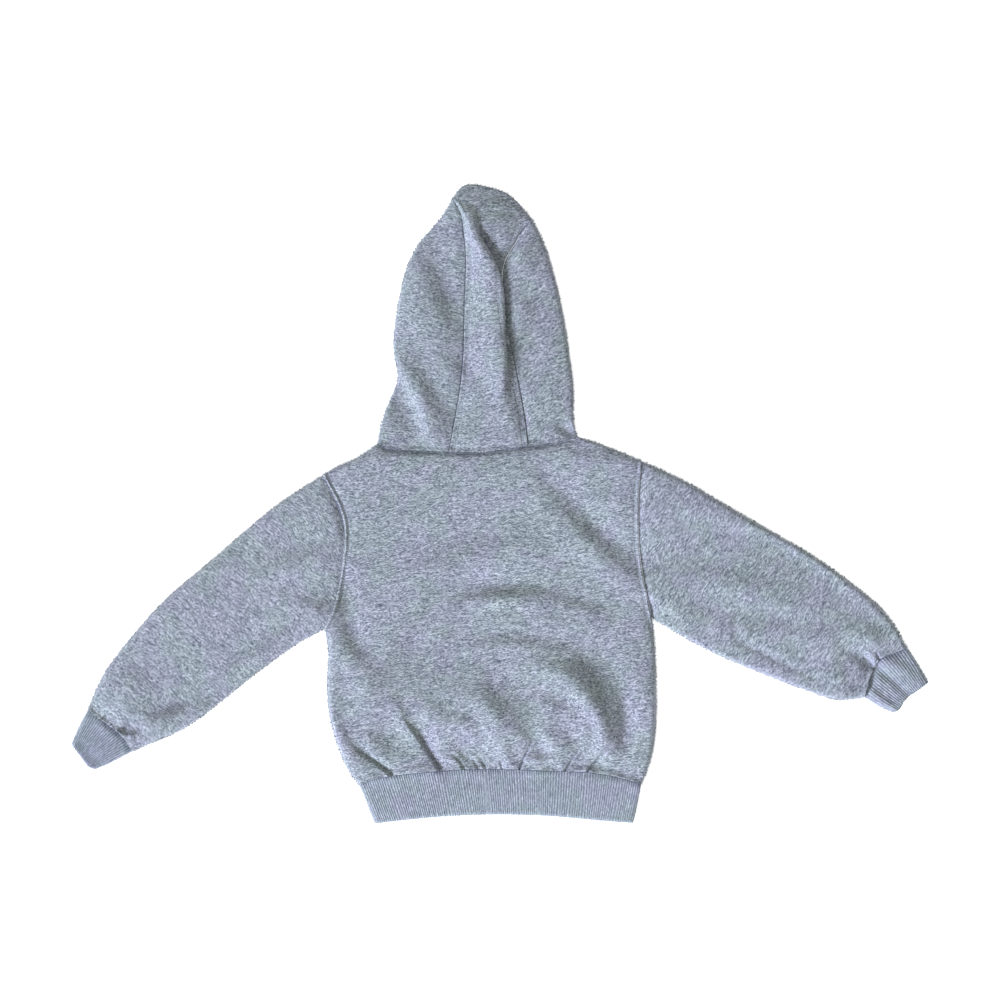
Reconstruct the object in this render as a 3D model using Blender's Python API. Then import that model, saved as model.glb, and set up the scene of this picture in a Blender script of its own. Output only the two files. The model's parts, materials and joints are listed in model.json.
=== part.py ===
"""Toddler pullover hoodie, laid flat on its front with its back up.

The garment's outer skin is laid out first, as sheets of faces between smooth outlines:
an upper layer that rises over its rolled edges, puffs and folds, and a lower layer that
lies flat. Each cut piece is then its own part of that skin, drawn in a little from its
seams and given the thickness of the cloth inwards. Lengths in the tables are millimetres.
+X is the right of the laid garment, +Y points to the hood and +Z up.
"""

import math

import bpy
import numpy as np
from mathutils import Vector

MM = 0.001

# Cloth
FLEECE_WALL = 2.4       # brushed fleece
RIB_WALL = 2.4          # fine rib knit, doubled
SEAM_GAP = 0.32         # between two pieces at their seam
RIB_PITCH = 2.6
RIB_HEIGHT = 0.5

# Height of the laid garment
EDGE_Z = 4.5            # outermost line of a rolled edge, and the radius of the roll below it
CROWN_Z = 8.4           # upper layer just inside a rolled edge
SPRING = 1.2            # what it rises further where it is far from any edge
SPRING_REACH = 30.0
LOWEST_TOP_Z = 6.3      # the bottom of the deepest valley in the upper layer
ROLL_WIDTH = 4.8        # of the turn over a rolled edge
EDGE_SUPPORT = 14.0     # how far in a rolled edge holds the layer up over valleys and seams
ROLL_STEPS = 3          # faces over each quarter turn of a rolled edge

# Spacing of the points
FLAT_SPACING = 22.0
SMOOTH_STEPS = 12       # straight stretches between two points of an outline's table
LARGEST_ROLL = 0.29     # of a narrow piece's width
ON_THE_EDGE = 0.01      # a point this near a rolled edge is on it
SHARPEST_CORNER = 0.4   # keeps a sharp corner of a piece from being drawn in too far
CORNER_REACH = 14.0     # where a roll turns from a seam's direction to its own
ARMHOLE_COLUMNS = 10    # even faces across the upper layer between its rolled edges
SHOULDER_COLUMNS = 4
SIDE_ROWS = 11
SLEEVE_ROWS = 16
CUFF_ROWS = 2
HOOD_ROWS = 17
HOOD_SIDE_COLUMNS = 5
SEAM_ROLL = 9.0         # how far the rows close up beside a seam
TIP_COLUMNS = [0, 4, 6, 8]      # the columns of a hood side that go on to its tip

# Thickness where the cloth turns over sharply
THINNEST_WALL = 1.0
TURN_SHARE = 0.7        # of the radius of the turn
THICKENING = 0.3        # how fast it thickens again away from there
GRADING_PASSES = 4

# Outlines, each from its first named end to its second: x, y
NECK_LEFT = (-122, 61)
NECK_RIGHT = (78, 67)
SHOULDER_LEFT = ((-177, 29), (-164, 37), (-146, 44), (-132, 53), NECK_LEFT)
SHOULDER_RIGHT = (NECK_RIGHT, (93, 63), (116, 54), (142, 43))
BACK_NECK_LEFT = (NECK_LEFT, (-110, 55.5), (-88, 53.5), (-51, 52))
BACK_NECK_CENTER = ((-51, 52), (-16, 52), (28, 58))
BACK_NECK_RIGHT = ((28, 58), (48, 60), NECK_RIGHT)
FRONT_NECK_LEFT = (NECK_LEFT, (-103, 38), (-74, 21), (-24, 13))
FRONT_NECK_RIGHT = ((-20, 13), (32, 22), (62, 42), NECK_RIGHT)
ARMHOLE_LEFT = ((-177, 29), (-168, 12), (-160, -4), (-155, -26), (-156.5, -55), (-164.5, -100),
                (-175, -124))
ARMHOLE_RIGHT = ((142, 43), (139, 19), (138, -3), (138.5, -30), (141, -61), (147, -92), (152, -114))
SIDE_LEFT = ((-175, -124), (-171, -146), (-173, -182), (-169, -218), (-161, -243), (-153, -264),
             (-140, -281))
SIDE_RIGHT = ((152, -114), (155, -150), (156, -194), (155, -230), (150, -258), (141, -280))
HEM = ((-140, -281), (-129, -275.5), (-112, -272), (-68, -267), (-17, -264.5), (44, -266), (98, -269),
       (129, -275.5), (141, -280))
WAIST_LEFT = ((-140, -281), (-134, -297), (-128, -310), (-125, -319))
WAIST_RIGHT = ((141, -280), (139, -292), (136, -306), (133, -318.5))
WAIST_MOUTH = ((-125, -319), (-95, -315.5), (-50, -311.5), (0, -310), (50, -311.5), (95, -315.5),
               (133, -318.5))

# Sleeves, a row for each section from the armhole to the cuff: upper edge x, y, lower edge x, y
SLEEVE_LEFT = (
    (-177, 29, -175, -124),
    (-219, 2, -205, -141),
    (-258, -30, -233, -161),
    (-296, -63, -260, -182),
    (-335, -96, -287, -204),
    (-368, -133, -315, -224),
    (-395, -168, -342, -236),
    (-411, -204, -367, -247),
)
SLEEVE_RIGHT = (
    (142, 43, 152, -114),
    (187, 22, 182, -132),
    (229, -3, 212, -148),
    (272, -28, 244, -162),
    (315, -53, 276, -175),
    (355, -82, 308, -187),
    (387, -110, 337, -196),
    (407, -144, 364, -193),
)
CUFF_SEAM_LEFT = ((-411, -204), (-404, -212), (-389, -222), (-377, -232), (-367, -247))
CUFF_SEAM_RIGHT = ((407, -144), (393, -149), (379, -155), (371, -170), (364, -193))
CUFF_LEFT = (
    (-411, -204, -367, -247),
    (-420, -221, -384, -256),
    (-428, -240, -404, -265),
)
CUFF_RIGHT = (
    (407, -144, 364, -193),
    (418, -160, 376, -201),
    (428, -178, 392, -208),
)
MOUTH_LEFT = ((-428, -240), (-418, -253), (-411, -262), (-404, -265))
MOUTH_RIGHT = ((428, -178), (416, -187), (405, -194), (399, -205), (392, -208))

# Hood, from the neck up to the crown
HOOD_LEFT_EDGE = (NECK_LEFT, (-118, 84), (-105, 116), (-101, 130), (-107, 158), (-101, 204), (-92, 240),
                  (-77, 266), (-59, 285), (-48, 305))
HOOD_LEFT_SEAM = ((-51, 52), (-45, 85), (-39.5, 118), (-36.5, 150), (-35.5, 200), (-34, 248), (-37, 276),
                  (-39, 292), (-48, 305))
HOOD_CROWN = ((-48, 305), (-41, 316), (-34, 320), (-26, 320), (-12, 317), (2, 313), (16, 303), (33, 284))
HOOD_RIGHT_SEAM = ((28, 58), (25, 85), (20, 112), (13, 148), (6, 180), (2, 215), (4, 243), (14, 257),
                   (23, 276),
                   (33, 284))
HOOD_RIGHT_EDGE = (NECK_RIGHT, (73, 84), (74, 112), (70, 145), (65, 180), (56, 222), (45, 258), (33, 284))
# The face opening lies underneath, between the side panels and below the end of the centre panel
FACE_LEFT = ((-24, 13), (-23, 140), (-26, 262))
FACE_RIGHT = ((-20, 13), (-1, 140), (16, 262))
UNDER_SEAM_LEFT = ((-26, 262), (-36, 292), (-48, 305))
UNDER_SEAM_RIGHT = ((16, 262), (24, 276), (33, 284))

# The pleat in the hood's centre panel: y, x of its lip, how far it is folded (0 to 1)
PLEAT = (
    (292, -33, 0.00),
    (278, -27, 0.12),
    (264, -20, 0.45),
    (251, -10, 0.85),
    (238, -1, 1.00),
    (217, 5, 1.00),
    (170, 5.5, 1.00),
    (150, 7, 0.85),
    (128, 9, 0.40),
    (104, 13, 0.10),
    (80, 14, 0.00),
)
LIP_RADIUS = 3.4        # of the roll over the pleat's lip
LIP_POINTS = 4
UNDER_LENGTH = 5.0      # from the lip back to the bend hidden under it
BEND_RADIUS = 0.6       # of the outer face at the hidden bend
SLACK = 1.5             # how much shorter the pleat is where it is half folded
CREST_SPACE = 6.0       # the pleat's crest lies at least this far from the seam
PLEAT_RISE = ((0, 0), (0.12, 0.08), (0.30, 0.42), (0.50, 0.85), (0.75, 1.0))    # across to the crest, up
PLEAT_REST = (0.45, 0.8, 1.0)           # where the flat part beyond the pleat has its points
TYPICAL_PLEAT = (-51.0, 28.0, 14.0)     # x of the left seam, the right seam and the lip, unfolded
PLEAT_LEVEL = 0.7       # how far across a row the lip is looked up

# Folds of the upper layer: start x, y, middle x, y, end x, y, half width, height, weight at start, at end
FOLDS = (
    ("blouse above the hem", -135, -190, 0, -212, 135, -196, 36, 5.0, 1, 1),
    ("right shoulder drag", 45, 24, 95, -26, 133, -58, 11, -2.4, 0.4, 1),
    ("left shoulder drag", 5, -28, -80, -61, -150, -96, 14, -2.0, 0.3, 1),
    ("left underarm drag", -165, -91, -153, -121, -135, -156, 9, -2.2, 1, 0.4),
    ("upper arc valley", -80, -136, 0, -86, 100, -106, 9, -2.4, 0.6, 0.7),
    ("upper arc crest", -60, -136, 20, -110, 92, -124, 10, 3.6, 0.5, 0.8),
    ("middle arc valley", -36, -137, 40, -142, 104, -152, 9, -3.6, 0.6, 0.8),
    ("lower arc crest", -25, -156, 62, -174, 112, -246, 13, 6.5, 0.5, 0.9),
    ("outer arc valley", 98, -150, 124, -190, 118, -238, 9, -4.5, 0.4, 1),
    ("inner valley", -12, -166, 12, -200, 34, -224, 9, -5.0, 0.7, 0.6),
    ("loop crest", -66, -232, -22, -208, 6, -262, 9, 5.0, 0.5, 1),
    ("loop hollow", -45, -236, -36, -240, -24, -250, 10, -4.0, 0.7, 1),
    ("left puff", -140, -186, -132, -205, -122, -228, 14, 3.0, 0.6, 0.6),
    ("left sleeve roll", -190, -20, -280, -90, -372, -178, 38, 4.0, 0.4, 0.9),
    ("left sleeve drag", -205, -118, -262, -155, -330, -205, 14, -1.8, 0.3, 0.9),
    ("right sleeve roll", 170, -8, 262, -62, 352, -118, 36, 4.2, 0.4, 0.8),
    ("right sleeve drag", 168, -70, 250, -118, 330, -150, 15, -2.0, 0.4, 0.9),
    ("right cuff crease", 350, -144, 364, -154, 374, -162, 6, -3.5, 0.3, 1),
    ("right cuff puff", 372, -130, 352, -166, 346, -186, 13, 3.2, 0.8, 0.8),
    ("left cuff puff", -392, -190, -374, -212, -352, -232, 12, 2.6, 0.8, 0.8),
    ("left cuff crease", -362, -216, -372, -226, -380, -229, 6, -3.0, 0.3, 1),
    ("hood left valley", -70, 250, -48, 190, -34, 128, 11, -2.4, 0.6, 1),
    ("hood left ridge", -99, 137, -84, 108, -66, 66, 7, 4.2, 0.7, 1),
    ("hood left hollow", -102, 112, -100, 92, -92, 74, 12, -2.2, 0.6, 1),
    ("hood centre ridge", -5, 158, -3, 130, 2, 104, 9, 2.0, 0.7, 0.2),
    ("hood crown crease", -36, 297, 5, 297, 30, 287, 6, -3.0, 0.6, 0.7),
    ("hood crown puff", -28, 284, 5, 270, 22, 236, 16, 4.5, 0.5, 0.7),
    ("hood right roll", 38, 236, 44, 180, 52, 110, 17, 2.4, 0.5, 0.6),
    ("hood right dimple", 62, 76, 67, 74, 72, 68, 6, -3.0, 1, 1),
)

# Gathers above the hem: x and y of the tip, x at the seam, half width, depth
GATHERS = (
    (-145, -252, -111, 7.0, 6.0),
    (-86, -230, -60, 6.0, 7.0),
    (-46, -249, -35, 5.0, 5.5),
    (-19, -253, -17, 4.5, 4.0),
    (34, -236, 20, 6.0, 7.0),
    (62, -250, 57, 4.5, 3.5),
    (84, -243, 71, 5.0, 5.5),
    (117, -243, 88, 6.0, 7.0),
    (136, -250, 118, 6.5, 5.0),
)

# Seams across the upper layer: the height they are drawn down to, and the half width of that dip
SEAM_DIPS = (
    (ARMHOLE_LEFT, 7.6, 6.0),
    (ARMHOLE_RIGHT, 7.6, 6.0),
    (BACK_NECK_LEFT, 6.9, 7.0),
    (BACK_NECK_CENTER, 6.9, 7.0),
    (BACK_NECK_RIGHT, 6.9, 7.0),
    (HEM, 6.9, 8.0),
    (CUFF_SEAM_LEFT, 7.0, 6.5),
    (CUFF_SEAM_RIGHT, 7.0, 6.5),
    (HOOD_LEFT_SEAM, 8.0, 5.0),
    (HOOD_RIGHT_SEAM, 7.8, 5.0),
)
BAND_Z = 8.0            # upper layer of the waistband and the cuffs

# Colours, linear, and how rough the cloth is
FLEECE = (0.32, 0.36, 0.43)
HOOD_FLEECE = (0.29, 0.33, 0.40)
RIB = (0.35, 0.40, 0.46)
CLOTH_ROUGHNESS = 0.95
SMOOTH_ANGLE = math.radians(50)


# ---- Lines in the plane ---------------------------------------------------------------------

def smooth(knots):
    """A smooth line through the knots, as an array of x, y."""
    knots = np.array(knots, float)
    ends = np.vstack([2 * knots[0] - knots[1], knots, 2 * knots[-1] - knots[-2]])
    line = []
    for a, b, c, d in zip(ends, ends[1:], ends[2:], ends[3:]):
        for step in range(SMOOTH_STEPS):
            t = step / SMOOTH_STEPS
            bend = t * (2 * a - 5 * b + 4 * c - d) + t * t * (3 * (b - c) + d - a)
            line.append(b + t / 2 * ((c - a) + bend))
    line.append(knots[-1])
    return np.array(line)


def reach(line):
    """The distance along the line to each of its points."""
    return np.concatenate([[0.0], np.cumsum(np.linalg.norm(np.diff(line, axis=0), axis=1))])


def along(line, distances):
    """The points that lie at these distances along the line."""
    travelled = reach(line)
    return np.column_stack([np.interp(distances, travelled, line[:, k]) for k in range(line.shape[1])])


def roll_steps(width):
    """How far in from an edge the points over its quarter turn lie."""
    return [width * (1 - math.cos(math.pi / 2 * k / ROLL_STEPS)) for k in range(ROLL_STEPS)]


def spread(length, count, start_roll=0.0, end_roll=0.0):
    """Distances from 0 to length: even ones, with the points of a quarter turn at a rolled end."""
    start_roll = min(start_roll, length * LARGEST_ROLL)
    end_roll = min(end_roll, length * LARGEST_ROLL)
    first = roll_steps(start_roll) if start_roll else []
    last = [length - step for step in reversed(roll_steps(end_roll))] if end_roll else []
    return np.array(first + list(np.linspace(start_roll, length - end_roll, count + 1)) + last)


def snap(distances, targets):
    """Move the nearest of the distances onto each target."""
    moved = distances.copy()
    for target in targets:
        moved[np.argmin(np.abs(distances - target))] = target
    return moved


def nearest(points, line):
    """Each point's distance to the line, and how far along the line that is, from 0 to 1."""
    start, step = line[:-1], np.diff(line, axis=0)
    offset = points[:, None, :] - start[None, :, :]
    t = np.clip((offset * step).sum(2) / (step * step).sum(1), 0, 1)
    gaps = np.linalg.norm(offset - t[:, :, None] * step, axis=2)
    best = gaps.argmin(1)
    rows = np.arange(len(points))
    travelled = reach(line)
    return gaps[rows, best], (travelled[best] + t[rows, best] * np.diff(travelled)[best]) / travelled[-1]


def patch(first, last, left, right):
    """A sheet of points between its first and last rows and its two sides (a Coons patch)."""
    across_first, across_last = reach(first), reach(last)
    across_first = across_first / across_first[-1]
    across_last = across_last / across_last[-1] if across_last[-1] else across_first
    down_left, down_right = reach(left) / reach(left)[-1], reach(right) / reach(right)[-1]
    sheet = np.zeros((len(left), len(first), 2))
    for i in range(len(left)):
        for j in range(len(first)):
            u = across_first[j] + (across_last[j] - across_first[j]) * down_left[i]
            v = down_left[i] + (down_right[i] - down_left[i]) * u
            u = across_first[j] + (across_last[j] - across_first[j]) * v
            rows = (1 - v) * first[j] + v * last[j]
            sides = (1 - u) * left[i] + u * right[i]
            near_end = (1 - u) * first[0] + u * first[-1]
            far_end = (1 - u) * last[0] + u * last[-1]
            corners = (1 - v) * near_end + v * far_end
            sheet[i, j] = rows + sides - corners
    return sheet


# ---- The garment's outlines -----------------------------------------------------------------

def edge_of(sections, side):
    """One long edge of a sleeve or cuff, from its table of sections."""
    return smooth([row[2 * side:2 * side + 2] for row in sections])


SLEEVES = {
    "left": (SLEEVE_LEFT, ARMHOLE_LEFT, CUFF_SEAM_LEFT),
    "right": (SLEEVE_RIGHT, ARMHOLE_RIGHT, CUFF_SEAM_RIGHT),
}
CUFFS = {
    "left": (CUFF_LEFT, CUFF_SEAM_LEFT, MOUTH_LEFT),
    "right": (CUFF_RIGHT, CUFF_SEAM_RIGHT, MOUTH_RIGHT),
}
ROLLED_EDGES = [smooth(edge) for edge in (
    SHOULDER_LEFT, SHOULDER_RIGHT, SIDE_LEFT, SIDE_RIGHT, WAIST_LEFT, WAIST_RIGHT,
    HOOD_LEFT_EDGE, HOOD_CROWN, HOOD_RIGHT_EDGE)]
TUBES = [*SLEEVES.values(), *CUFFS.values()]
ROLLED_EDGES += [edge_of(tube[0], side) for tube in TUBES for side in (0, 1)]


# ---- Height of the upper layer --------------------------------------------------------------

def fold_height(points):
    """What the folds and gathers add to the upper layer at each point."""
    height = np.zeros(len(points))
    for _name, x0, y0, x1, y1, x2, y2, half_width, rise, start_weight, end_weight in FOLDS:
        gap, t = nearest(points, smooth([(x0, y0), (x1, y1), (x2, y2)]))
        weight = np.interp(t, (0.0, 0.5, 1.0), (start_weight, 1.0, end_weight))
        height += rise * weight * np.exp(-(gap / half_width) ** 2)
    hem = smooth(HEM)
    for tip_x, tip_y, seam_x, half_width, depth in GATHERS:
        root = along(hem, [np.interp(seam_x, hem[:, 0], reach(hem))])[0]
        gap, t = nearest(points, np.array([(tip_x, tip_y), root]))
        height -= depth * t * np.exp(-(gap / half_width) ** 2)
    return height


def top_height(points, crown=CROWN_Z):
    """Height of the upper layer's outer face over each point of the plane."""
    inset = np.min([nearest(points, edge)[0] for edge in ROLLED_EDGES], axis=0)
    inset[inset < ON_THE_EDGE] = 0.0
    crown = crown + SPRING * (1 - np.exp(-inset / SPRING_REACH))
    rise = np.maximum(crown + fold_height(points), LOWEST_TOP_Z) - EDGE_Z
    for line, level, half_width in SEAM_DIPS:
        gap, _t = nearest(points, smooth(line))
        rise += (level - EDGE_Z - rise) * np.exp(-(gap / half_width) ** 2)
    rise = np.maximum(rise, (CROWN_Z - EDGE_Z) * np.exp(-inset / EDGE_SUPPORT))
    return EDGE_Z + rise * np.sqrt(1 - (1 - np.minimum(inset / ROLL_WIDTH, 1)) ** 2)


def raise_sheet(sheet, crown=CROWN_Z):
    """Give a plane sheet of points the height of the upper layer."""
    rows, columns, _xy = sheet.shape
    flat = sheet.reshape(-1, 2)
    return np.column_stack([flat, top_height(flat, crown)]).reshape(rows, columns, 3)


# ---- Skin: the outer faces of every piece ---------------------------------------------------

class Skin:
    """Outer faces of the whole garment, sharing their points, each with its piece's name."""

    def __init__(self):
        self.points = []
        self.known = {}
        self.faces = []

    def point(self, place):
        """The number of the point at this place."""
        key = tuple(round(float(value), 3) + 0.0 for value in place)
        if key not in self.known:
            self.known[key] = len(self.points)
            self.points.append(Vector([float(value) for value in place]))
        return self.known[key]

    def face(self, piece, places, ribs=0):
        """Add one face, without the corners that fall on one another."""
        corners = [self.point(place) for place in places]
        corners = [c for k, c in enumerate(corners) if c != corners[k - 1]]
        if len(corners) > 2:
            self.faces.append((piece, corners, ribs if len(corners) == 4 else 0))

    def sheet(self, piece, grid, facing_up=True, ribs=None):
        """Add a grid of points as faces that all face up or all face down."""
        outline = np.vstack([grid[0], grid[1:, -1], grid[-1, ::-1], grid[::-1, 0]])[:, :2]
        flip = (area_of(outline) > 0) != facing_up
        for i in range(len(grid) - 1):
            for j in range(len(grid[0]) - 1):
                corners = [grid[i, j], grid[i, j + 1], grid[i + 1, j + 1], grid[i + 1, j]]
                if flip:
                    corners = [corners[k] for k in (1, 0, 3, 2)]
                self.face(piece, corners, ribs[j] if ribs is not None else 0)

    def tip(self, piece, grid, seam_last):
        """Add a grid whose last row is one point, with few points in the rows close to it."""
        wide, point = grid[:-1 - ROLL_STEPS], grid[-1, 0]
        picked = TIP_COLUMNS if seam_last else [len(grid[0]) - 1 - k for k in reversed(TIP_COLUMNS)]
        ring = grid[-1 - ROLL_STEPS][picked]
        row = wide[-1]
        self.sheet(piece, wide)
        owner = [min(range(len(picked)), key=lambda r: abs(picked[r] - j)) for j in range(len(row))]
        faces = []
        for j, (a, b) in enumerate(zip(owner, owner[1:])):
            faces.append([row[j], row[j + 1], ring[b]] + ([ring[a]] if a != b else []))
        ends = [[a, b, point] for a, b in zip(ring, ring[1:])]
        seam = grid[-1 - ROLL_STEPS:, -1 if seam_last else 0]
        if seam_last:
            faces += ends[:-1] + [[ring[-2], a, b] for a, b in zip(seam, seam[1:])]
        else:
            faces += ends[1:] + [[a, ring[1], b] for a, b in zip(seam, seam[1:])]
        flip = area_of(np.vstack([row, [point]])[:, :2]) < 0
        for places in faces:
            self.face(piece, places[::-1] if flip else places)

    def edges(self):
        """The two points of every edge, once for each face beside it."""
        rings = [corners for _piece, corners, _ribs in self.faces]
        return [pair for ring in rings for pair in zip(ring, ring[1:] + ring[:1])]

    def thickness(self, normals):
        """The thickest wall that each point can carry where the cloth turns over."""
        limit = [math.inf] * len(self.points)
        for a, b in self.edges():
            step = self.points[b] - self.points[a]
            turn = step.dot(normals[b] - normals[a]) / step.length_squared
            if turn > 0:
                limit[a] = min(limit[a], TURN_SHARE / turn)
                limit[b] = min(limit[b], TURN_SHARE / turn)
        limit = [max(value, THINNEST_WALL) for value in limit]
        for _pass in range(GRADING_PASSES):
            for a, b in self.edges():
                graded = THICKENING * (self.points[b] - self.points[a]).length
                limit[a] = min(limit[a], limit[b] + graded)
                limit[b] = min(limit[b], limit[a] + graded)
        return limit

    def normals(self):
        """The outward direction at each point, averaged over the faces round it."""
        mesh = bpy.data.meshes.new("skin")
        mesh.from_pydata(self.points, [], [corners for _piece, corners, _ribs in self.faces])
        directions = [vertex.normal.copy() for vertex in mesh.vertices]
        bpy.data.meshes.remove(mesh)
        return directions


def area_of(outline):
    """Area inside a plane outline, negative where it runs clockwise."""
    x, y = outline[:, 0], outline[:, 1]
    return 0.5 * float(np.sum(x * np.roll(y, -1) - y * np.roll(x, -1)))


# ---- Lower layer: flat, with its rolled edges ----------------------------------------------

def roll_profile():
    """How far in and how high each point of the roll under an edge lies, from the edge down."""
    turns = [math.pi / 2 * k / ROLL_STEPS for k in range(ROLL_STEPS + 1)]
    return [(EDGE_Z * (1 - math.cos(turn)), EDGE_Z * (1 - math.sin(turn))) for turn in turns]


def floor_seam(line, rolled_start=True, rolled_end=True):
    """Points of a seam across the lower layer, which rises to the rolled edges at its ends."""
    line = smooth(line)
    length = reach(line)[-1]
    start_roll, end_roll = EDGE_Z * rolled_start, EDGE_Z * rolled_end
    count = max(1, round(length / FLAT_SPACING))
    distances = list(np.linspace(start_roll, length - end_roll, count + 1))
    heights = [0.0] * len(distances)
    for inset, height in reversed(roll_profile()[:-1]):
        if rolled_start:
            distances.insert(0, inset)
            heights.insert(0, height)
        if rolled_end:
            distances.append(length - inset)
            heights.append(height)
    return np.column_stack([along(line, distances), heights])


def add_floor(skin, piece, runs):
    """Add a piece's lower layer, inside the closed loop of its rolled edges and its seams.

    Each run is ("edge", plane points) or ("seam", points with heights), in order round the loop.
    """
    outline = np.vstack([points[:-1, :2] for _kind, points in runs])
    turn = 1 if area_of(outline) > 0 else -1
    flat = []
    for k, (kind, points) in enumerate(runs):
        if kind == "seam":
            flat += [place for place in points[:-1] if place[2] == 0]
            if points[-1][2] == 0:
                flat.append(points[-1])
            continue
        before, after = runs[k - 1][1], runs[(k + 1) % len(runs)][1]
        step = np.gradient(points[:, :2], axis=0)
        inward = np.column_stack([-step[:, 1], step[:, 0]]) * turn
        inward /= np.linalg.norm(inward, axis=1)[:, None]
        from_start = reach(points)
        for corner, neighbour, gap in ((points[0], before[-1 - ROLL_STEPS], from_start),
                                       (points[-1], after[ROLL_STEPS], from_start[-1] - from_start)):
            lean = (neighbour - np.append(corner, 0.0))[:2] / EDGE_Z
            share = np.maximum(1 - gap / CORNER_REACH, 0)[:, None]
            inward += share * (lean - inward)
        strips = []
        for ring, (inset, height) in enumerate(roll_profile()):
            strip = np.column_stack([points[:, :2] + inward * inset, np.full(len(points), height)])
            strip[0], strip[-1] = before[-1 - ring], after[ring]
            strips.append(strip)
        skin.sheet(piece, np.array(strips), facing_up=False)
        flat += list(strips[-1][1:-1])
    corners = [skin.point(place) for place in flat]
    corners = [c for k, c in enumerate(corners) if c != corners[k - 1]]
    skin.faces.append((piece, corners if turn < 0 else corners[::-1], 0))


# ---- The sections of the garment ------------------------------------------------------------

def top_row(line, count, start_roll=ROLL_WIDTH, end_roll=ROLL_WIDTH):
    """Points of a row across the upper layer."""
    line = smooth(line)
    return along(line, spread(reach(line)[-1], count, start_roll, end_roll))


def side_points(line, distances_of):
    """Points down a rolled edge at distances given as parts of its length."""
    return along(line, distances_of * reach(line)[-1])


def armhole_row(side):
    """Points down an armhole seam of the upper layer, shared by the back and the sleeve."""
    return top_row(SLEEVES[side][1], ARMHOLE_COLUMNS)


def cuff_row(side):
    """Points across a cuff seam of the upper layer."""
    return top_row(SLEEVES[side][2], ARMHOLE_COLUMNS)


def shoulder_row(line, from_armhole):
    """Points along a shoulder, close together at the armhole."""
    rolls = (ROLL_WIDTH, 0) if from_armhole else (0, ROLL_WIDTH)
    return top_row(line, SHOULDER_COLUMNS, *rolls)


def neck_rows():
    """Points along the three stretches of the back neck seam, shared by the back and the hood."""
    return (top_row(BACK_NECK_LEFT, HOOD_SIDE_COLUMNS, ROLL_WIDTH, 0),
            side_points(smooth(BACK_NECK_CENTER), pleat_spread()),
            top_row(BACK_NECK_RIGHT, HOOD_SIDE_COLUMNS, 0, ROLL_WIDTH))


def side_row(line):
    """Points down a side of the body, close together at the hem."""
    return top_row(line, SIDE_ROWS, 0, SEAM_ROLL)


def join(*lines):
    """One row of points from several that follow on from each other."""
    return np.vstack([lines[0]] + [line[1:] for line in lines[1:]])


def body_top_row():
    """Points along the top of the back panel, over one shoulder, the neck and the other."""
    return join(shoulder_row(SHOULDER_LEFT, True), *neck_rows(), shoulder_row(SHOULDER_RIGHT, False))


def hem_row():
    """Points along the hem seam of the upper layer, with one at the root of each gather."""
    hem = smooth(HEM)
    count = len(body_top_row()) - 1 - 2 * ROLL_STEPS
    distances = spread(reach(hem)[-1], count, ROLL_WIDTH, ROLL_WIDTH)
    roots = [np.interp(row[2], hem[:, 0], reach(hem)) for row in GATHERS]
    return along(hem, snap(distances, roots))


def add_body(skin):
    """The back panel and, below it, the front panel."""
    left = join(armhole_row("left"), side_row(SIDE_LEFT))
    right = join(armhole_row("right"), side_row(SIDE_RIGHT))
    skin.sheet("body_back", raise_sheet(patch(body_top_row(), hem_row(), left, right)))
    add_floor(skin, "body_front", [
        ("seam", floor_seam(ARMHOLE_LEFT)),
        ("edge", side_row(SIDE_LEFT)),
        ("seam", floor_seam(HEM)),
        ("edge", side_row(SIDE_RIGHT)[::-1]),
        ("seam", floor_seam(ARMHOLE_RIGHT)[::-1]),
        ("edge", shoulder_row(SHOULDER_RIGHT, False)[::-1]),
        ("seam", floor_seam(FRONT_NECK_RIGHT, rolled_start=False)[::-1]),
        ("seam", floor_seam(FRONT_NECK_LEFT, rolled_end=False)[::-1]),
        ("edge", shoulder_row(SHOULDER_LEFT, True)[::-1]),
    ])


def add_sleeve(skin, side):
    """A sleeve, one tube from the armhole seam to the cuff seam."""
    sections, armhole, cuff_seam = SLEEVES[side]
    upper, lower = edge_of(sections, 0), edge_of(sections, 1)
    parts = spread(reach(upper)[-1], SLEEVE_ROWS, SEAM_ROLL, SEAM_ROLL) / reach(upper)[-1]
    upper, lower = side_points(upper, parts), side_points(lower, parts)
    piece = "sleeve_" + side
    skin.sheet(piece, raise_sheet(patch(armhole_row(side), cuff_row(side), upper, lower)))
    add_floor(skin, piece, [
        ("seam", floor_seam(armhole)),
        ("edge", lower),
        ("seam", floor_seam(cuff_seam)[::-1]),
        ("edge", upper[::-1]),
    ])


def add_band(skin, piece, seam_row, seam, mouth, sides):
    """A ribbed band, a tube from its seam to its open mouth."""
    start, end = sides
    parts = spread(1.0, CUFF_ROWS)
    start, end = side_points(start, parts), side_points(end, parts)
    rolls = (min(ROLL_WIDTH, reach(seam_row)[-1] * LARGEST_ROLL),) * 2
    count = len(seam_row) - 1 - 2 * ROLL_STEPS
    mouth_row = top_row(mouth, count, *rolls)
    sheet = patch(seam_row, mouth_row, start, end)
    widths = np.linalg.norm(np.diff(sheet[0], axis=0), axis=1)
    ribs = [max(1, round(width / RIB_PITCH)) for width in widths]
    skin.sheet(piece, raise_sheet(sheet, BAND_Z), ribs=ribs)
    add_floor(skin, piece, [
        ("seam", floor_seam(seam)),
        ("edge", end),
        ("seam", floor_seam(mouth)[::-1]),
        ("edge", start[::-1]),
    ])


def add_cuff(skin, side):
    """A cuff, from the sleeve's end to its mouth."""
    sections, seam, mouth = CUFFS[side]
    sides = (edge_of(sections, 0), edge_of(sections, 1))
    add_band(skin, "cuff_" + side, cuff_row(side), seam, mouth, sides)


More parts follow.
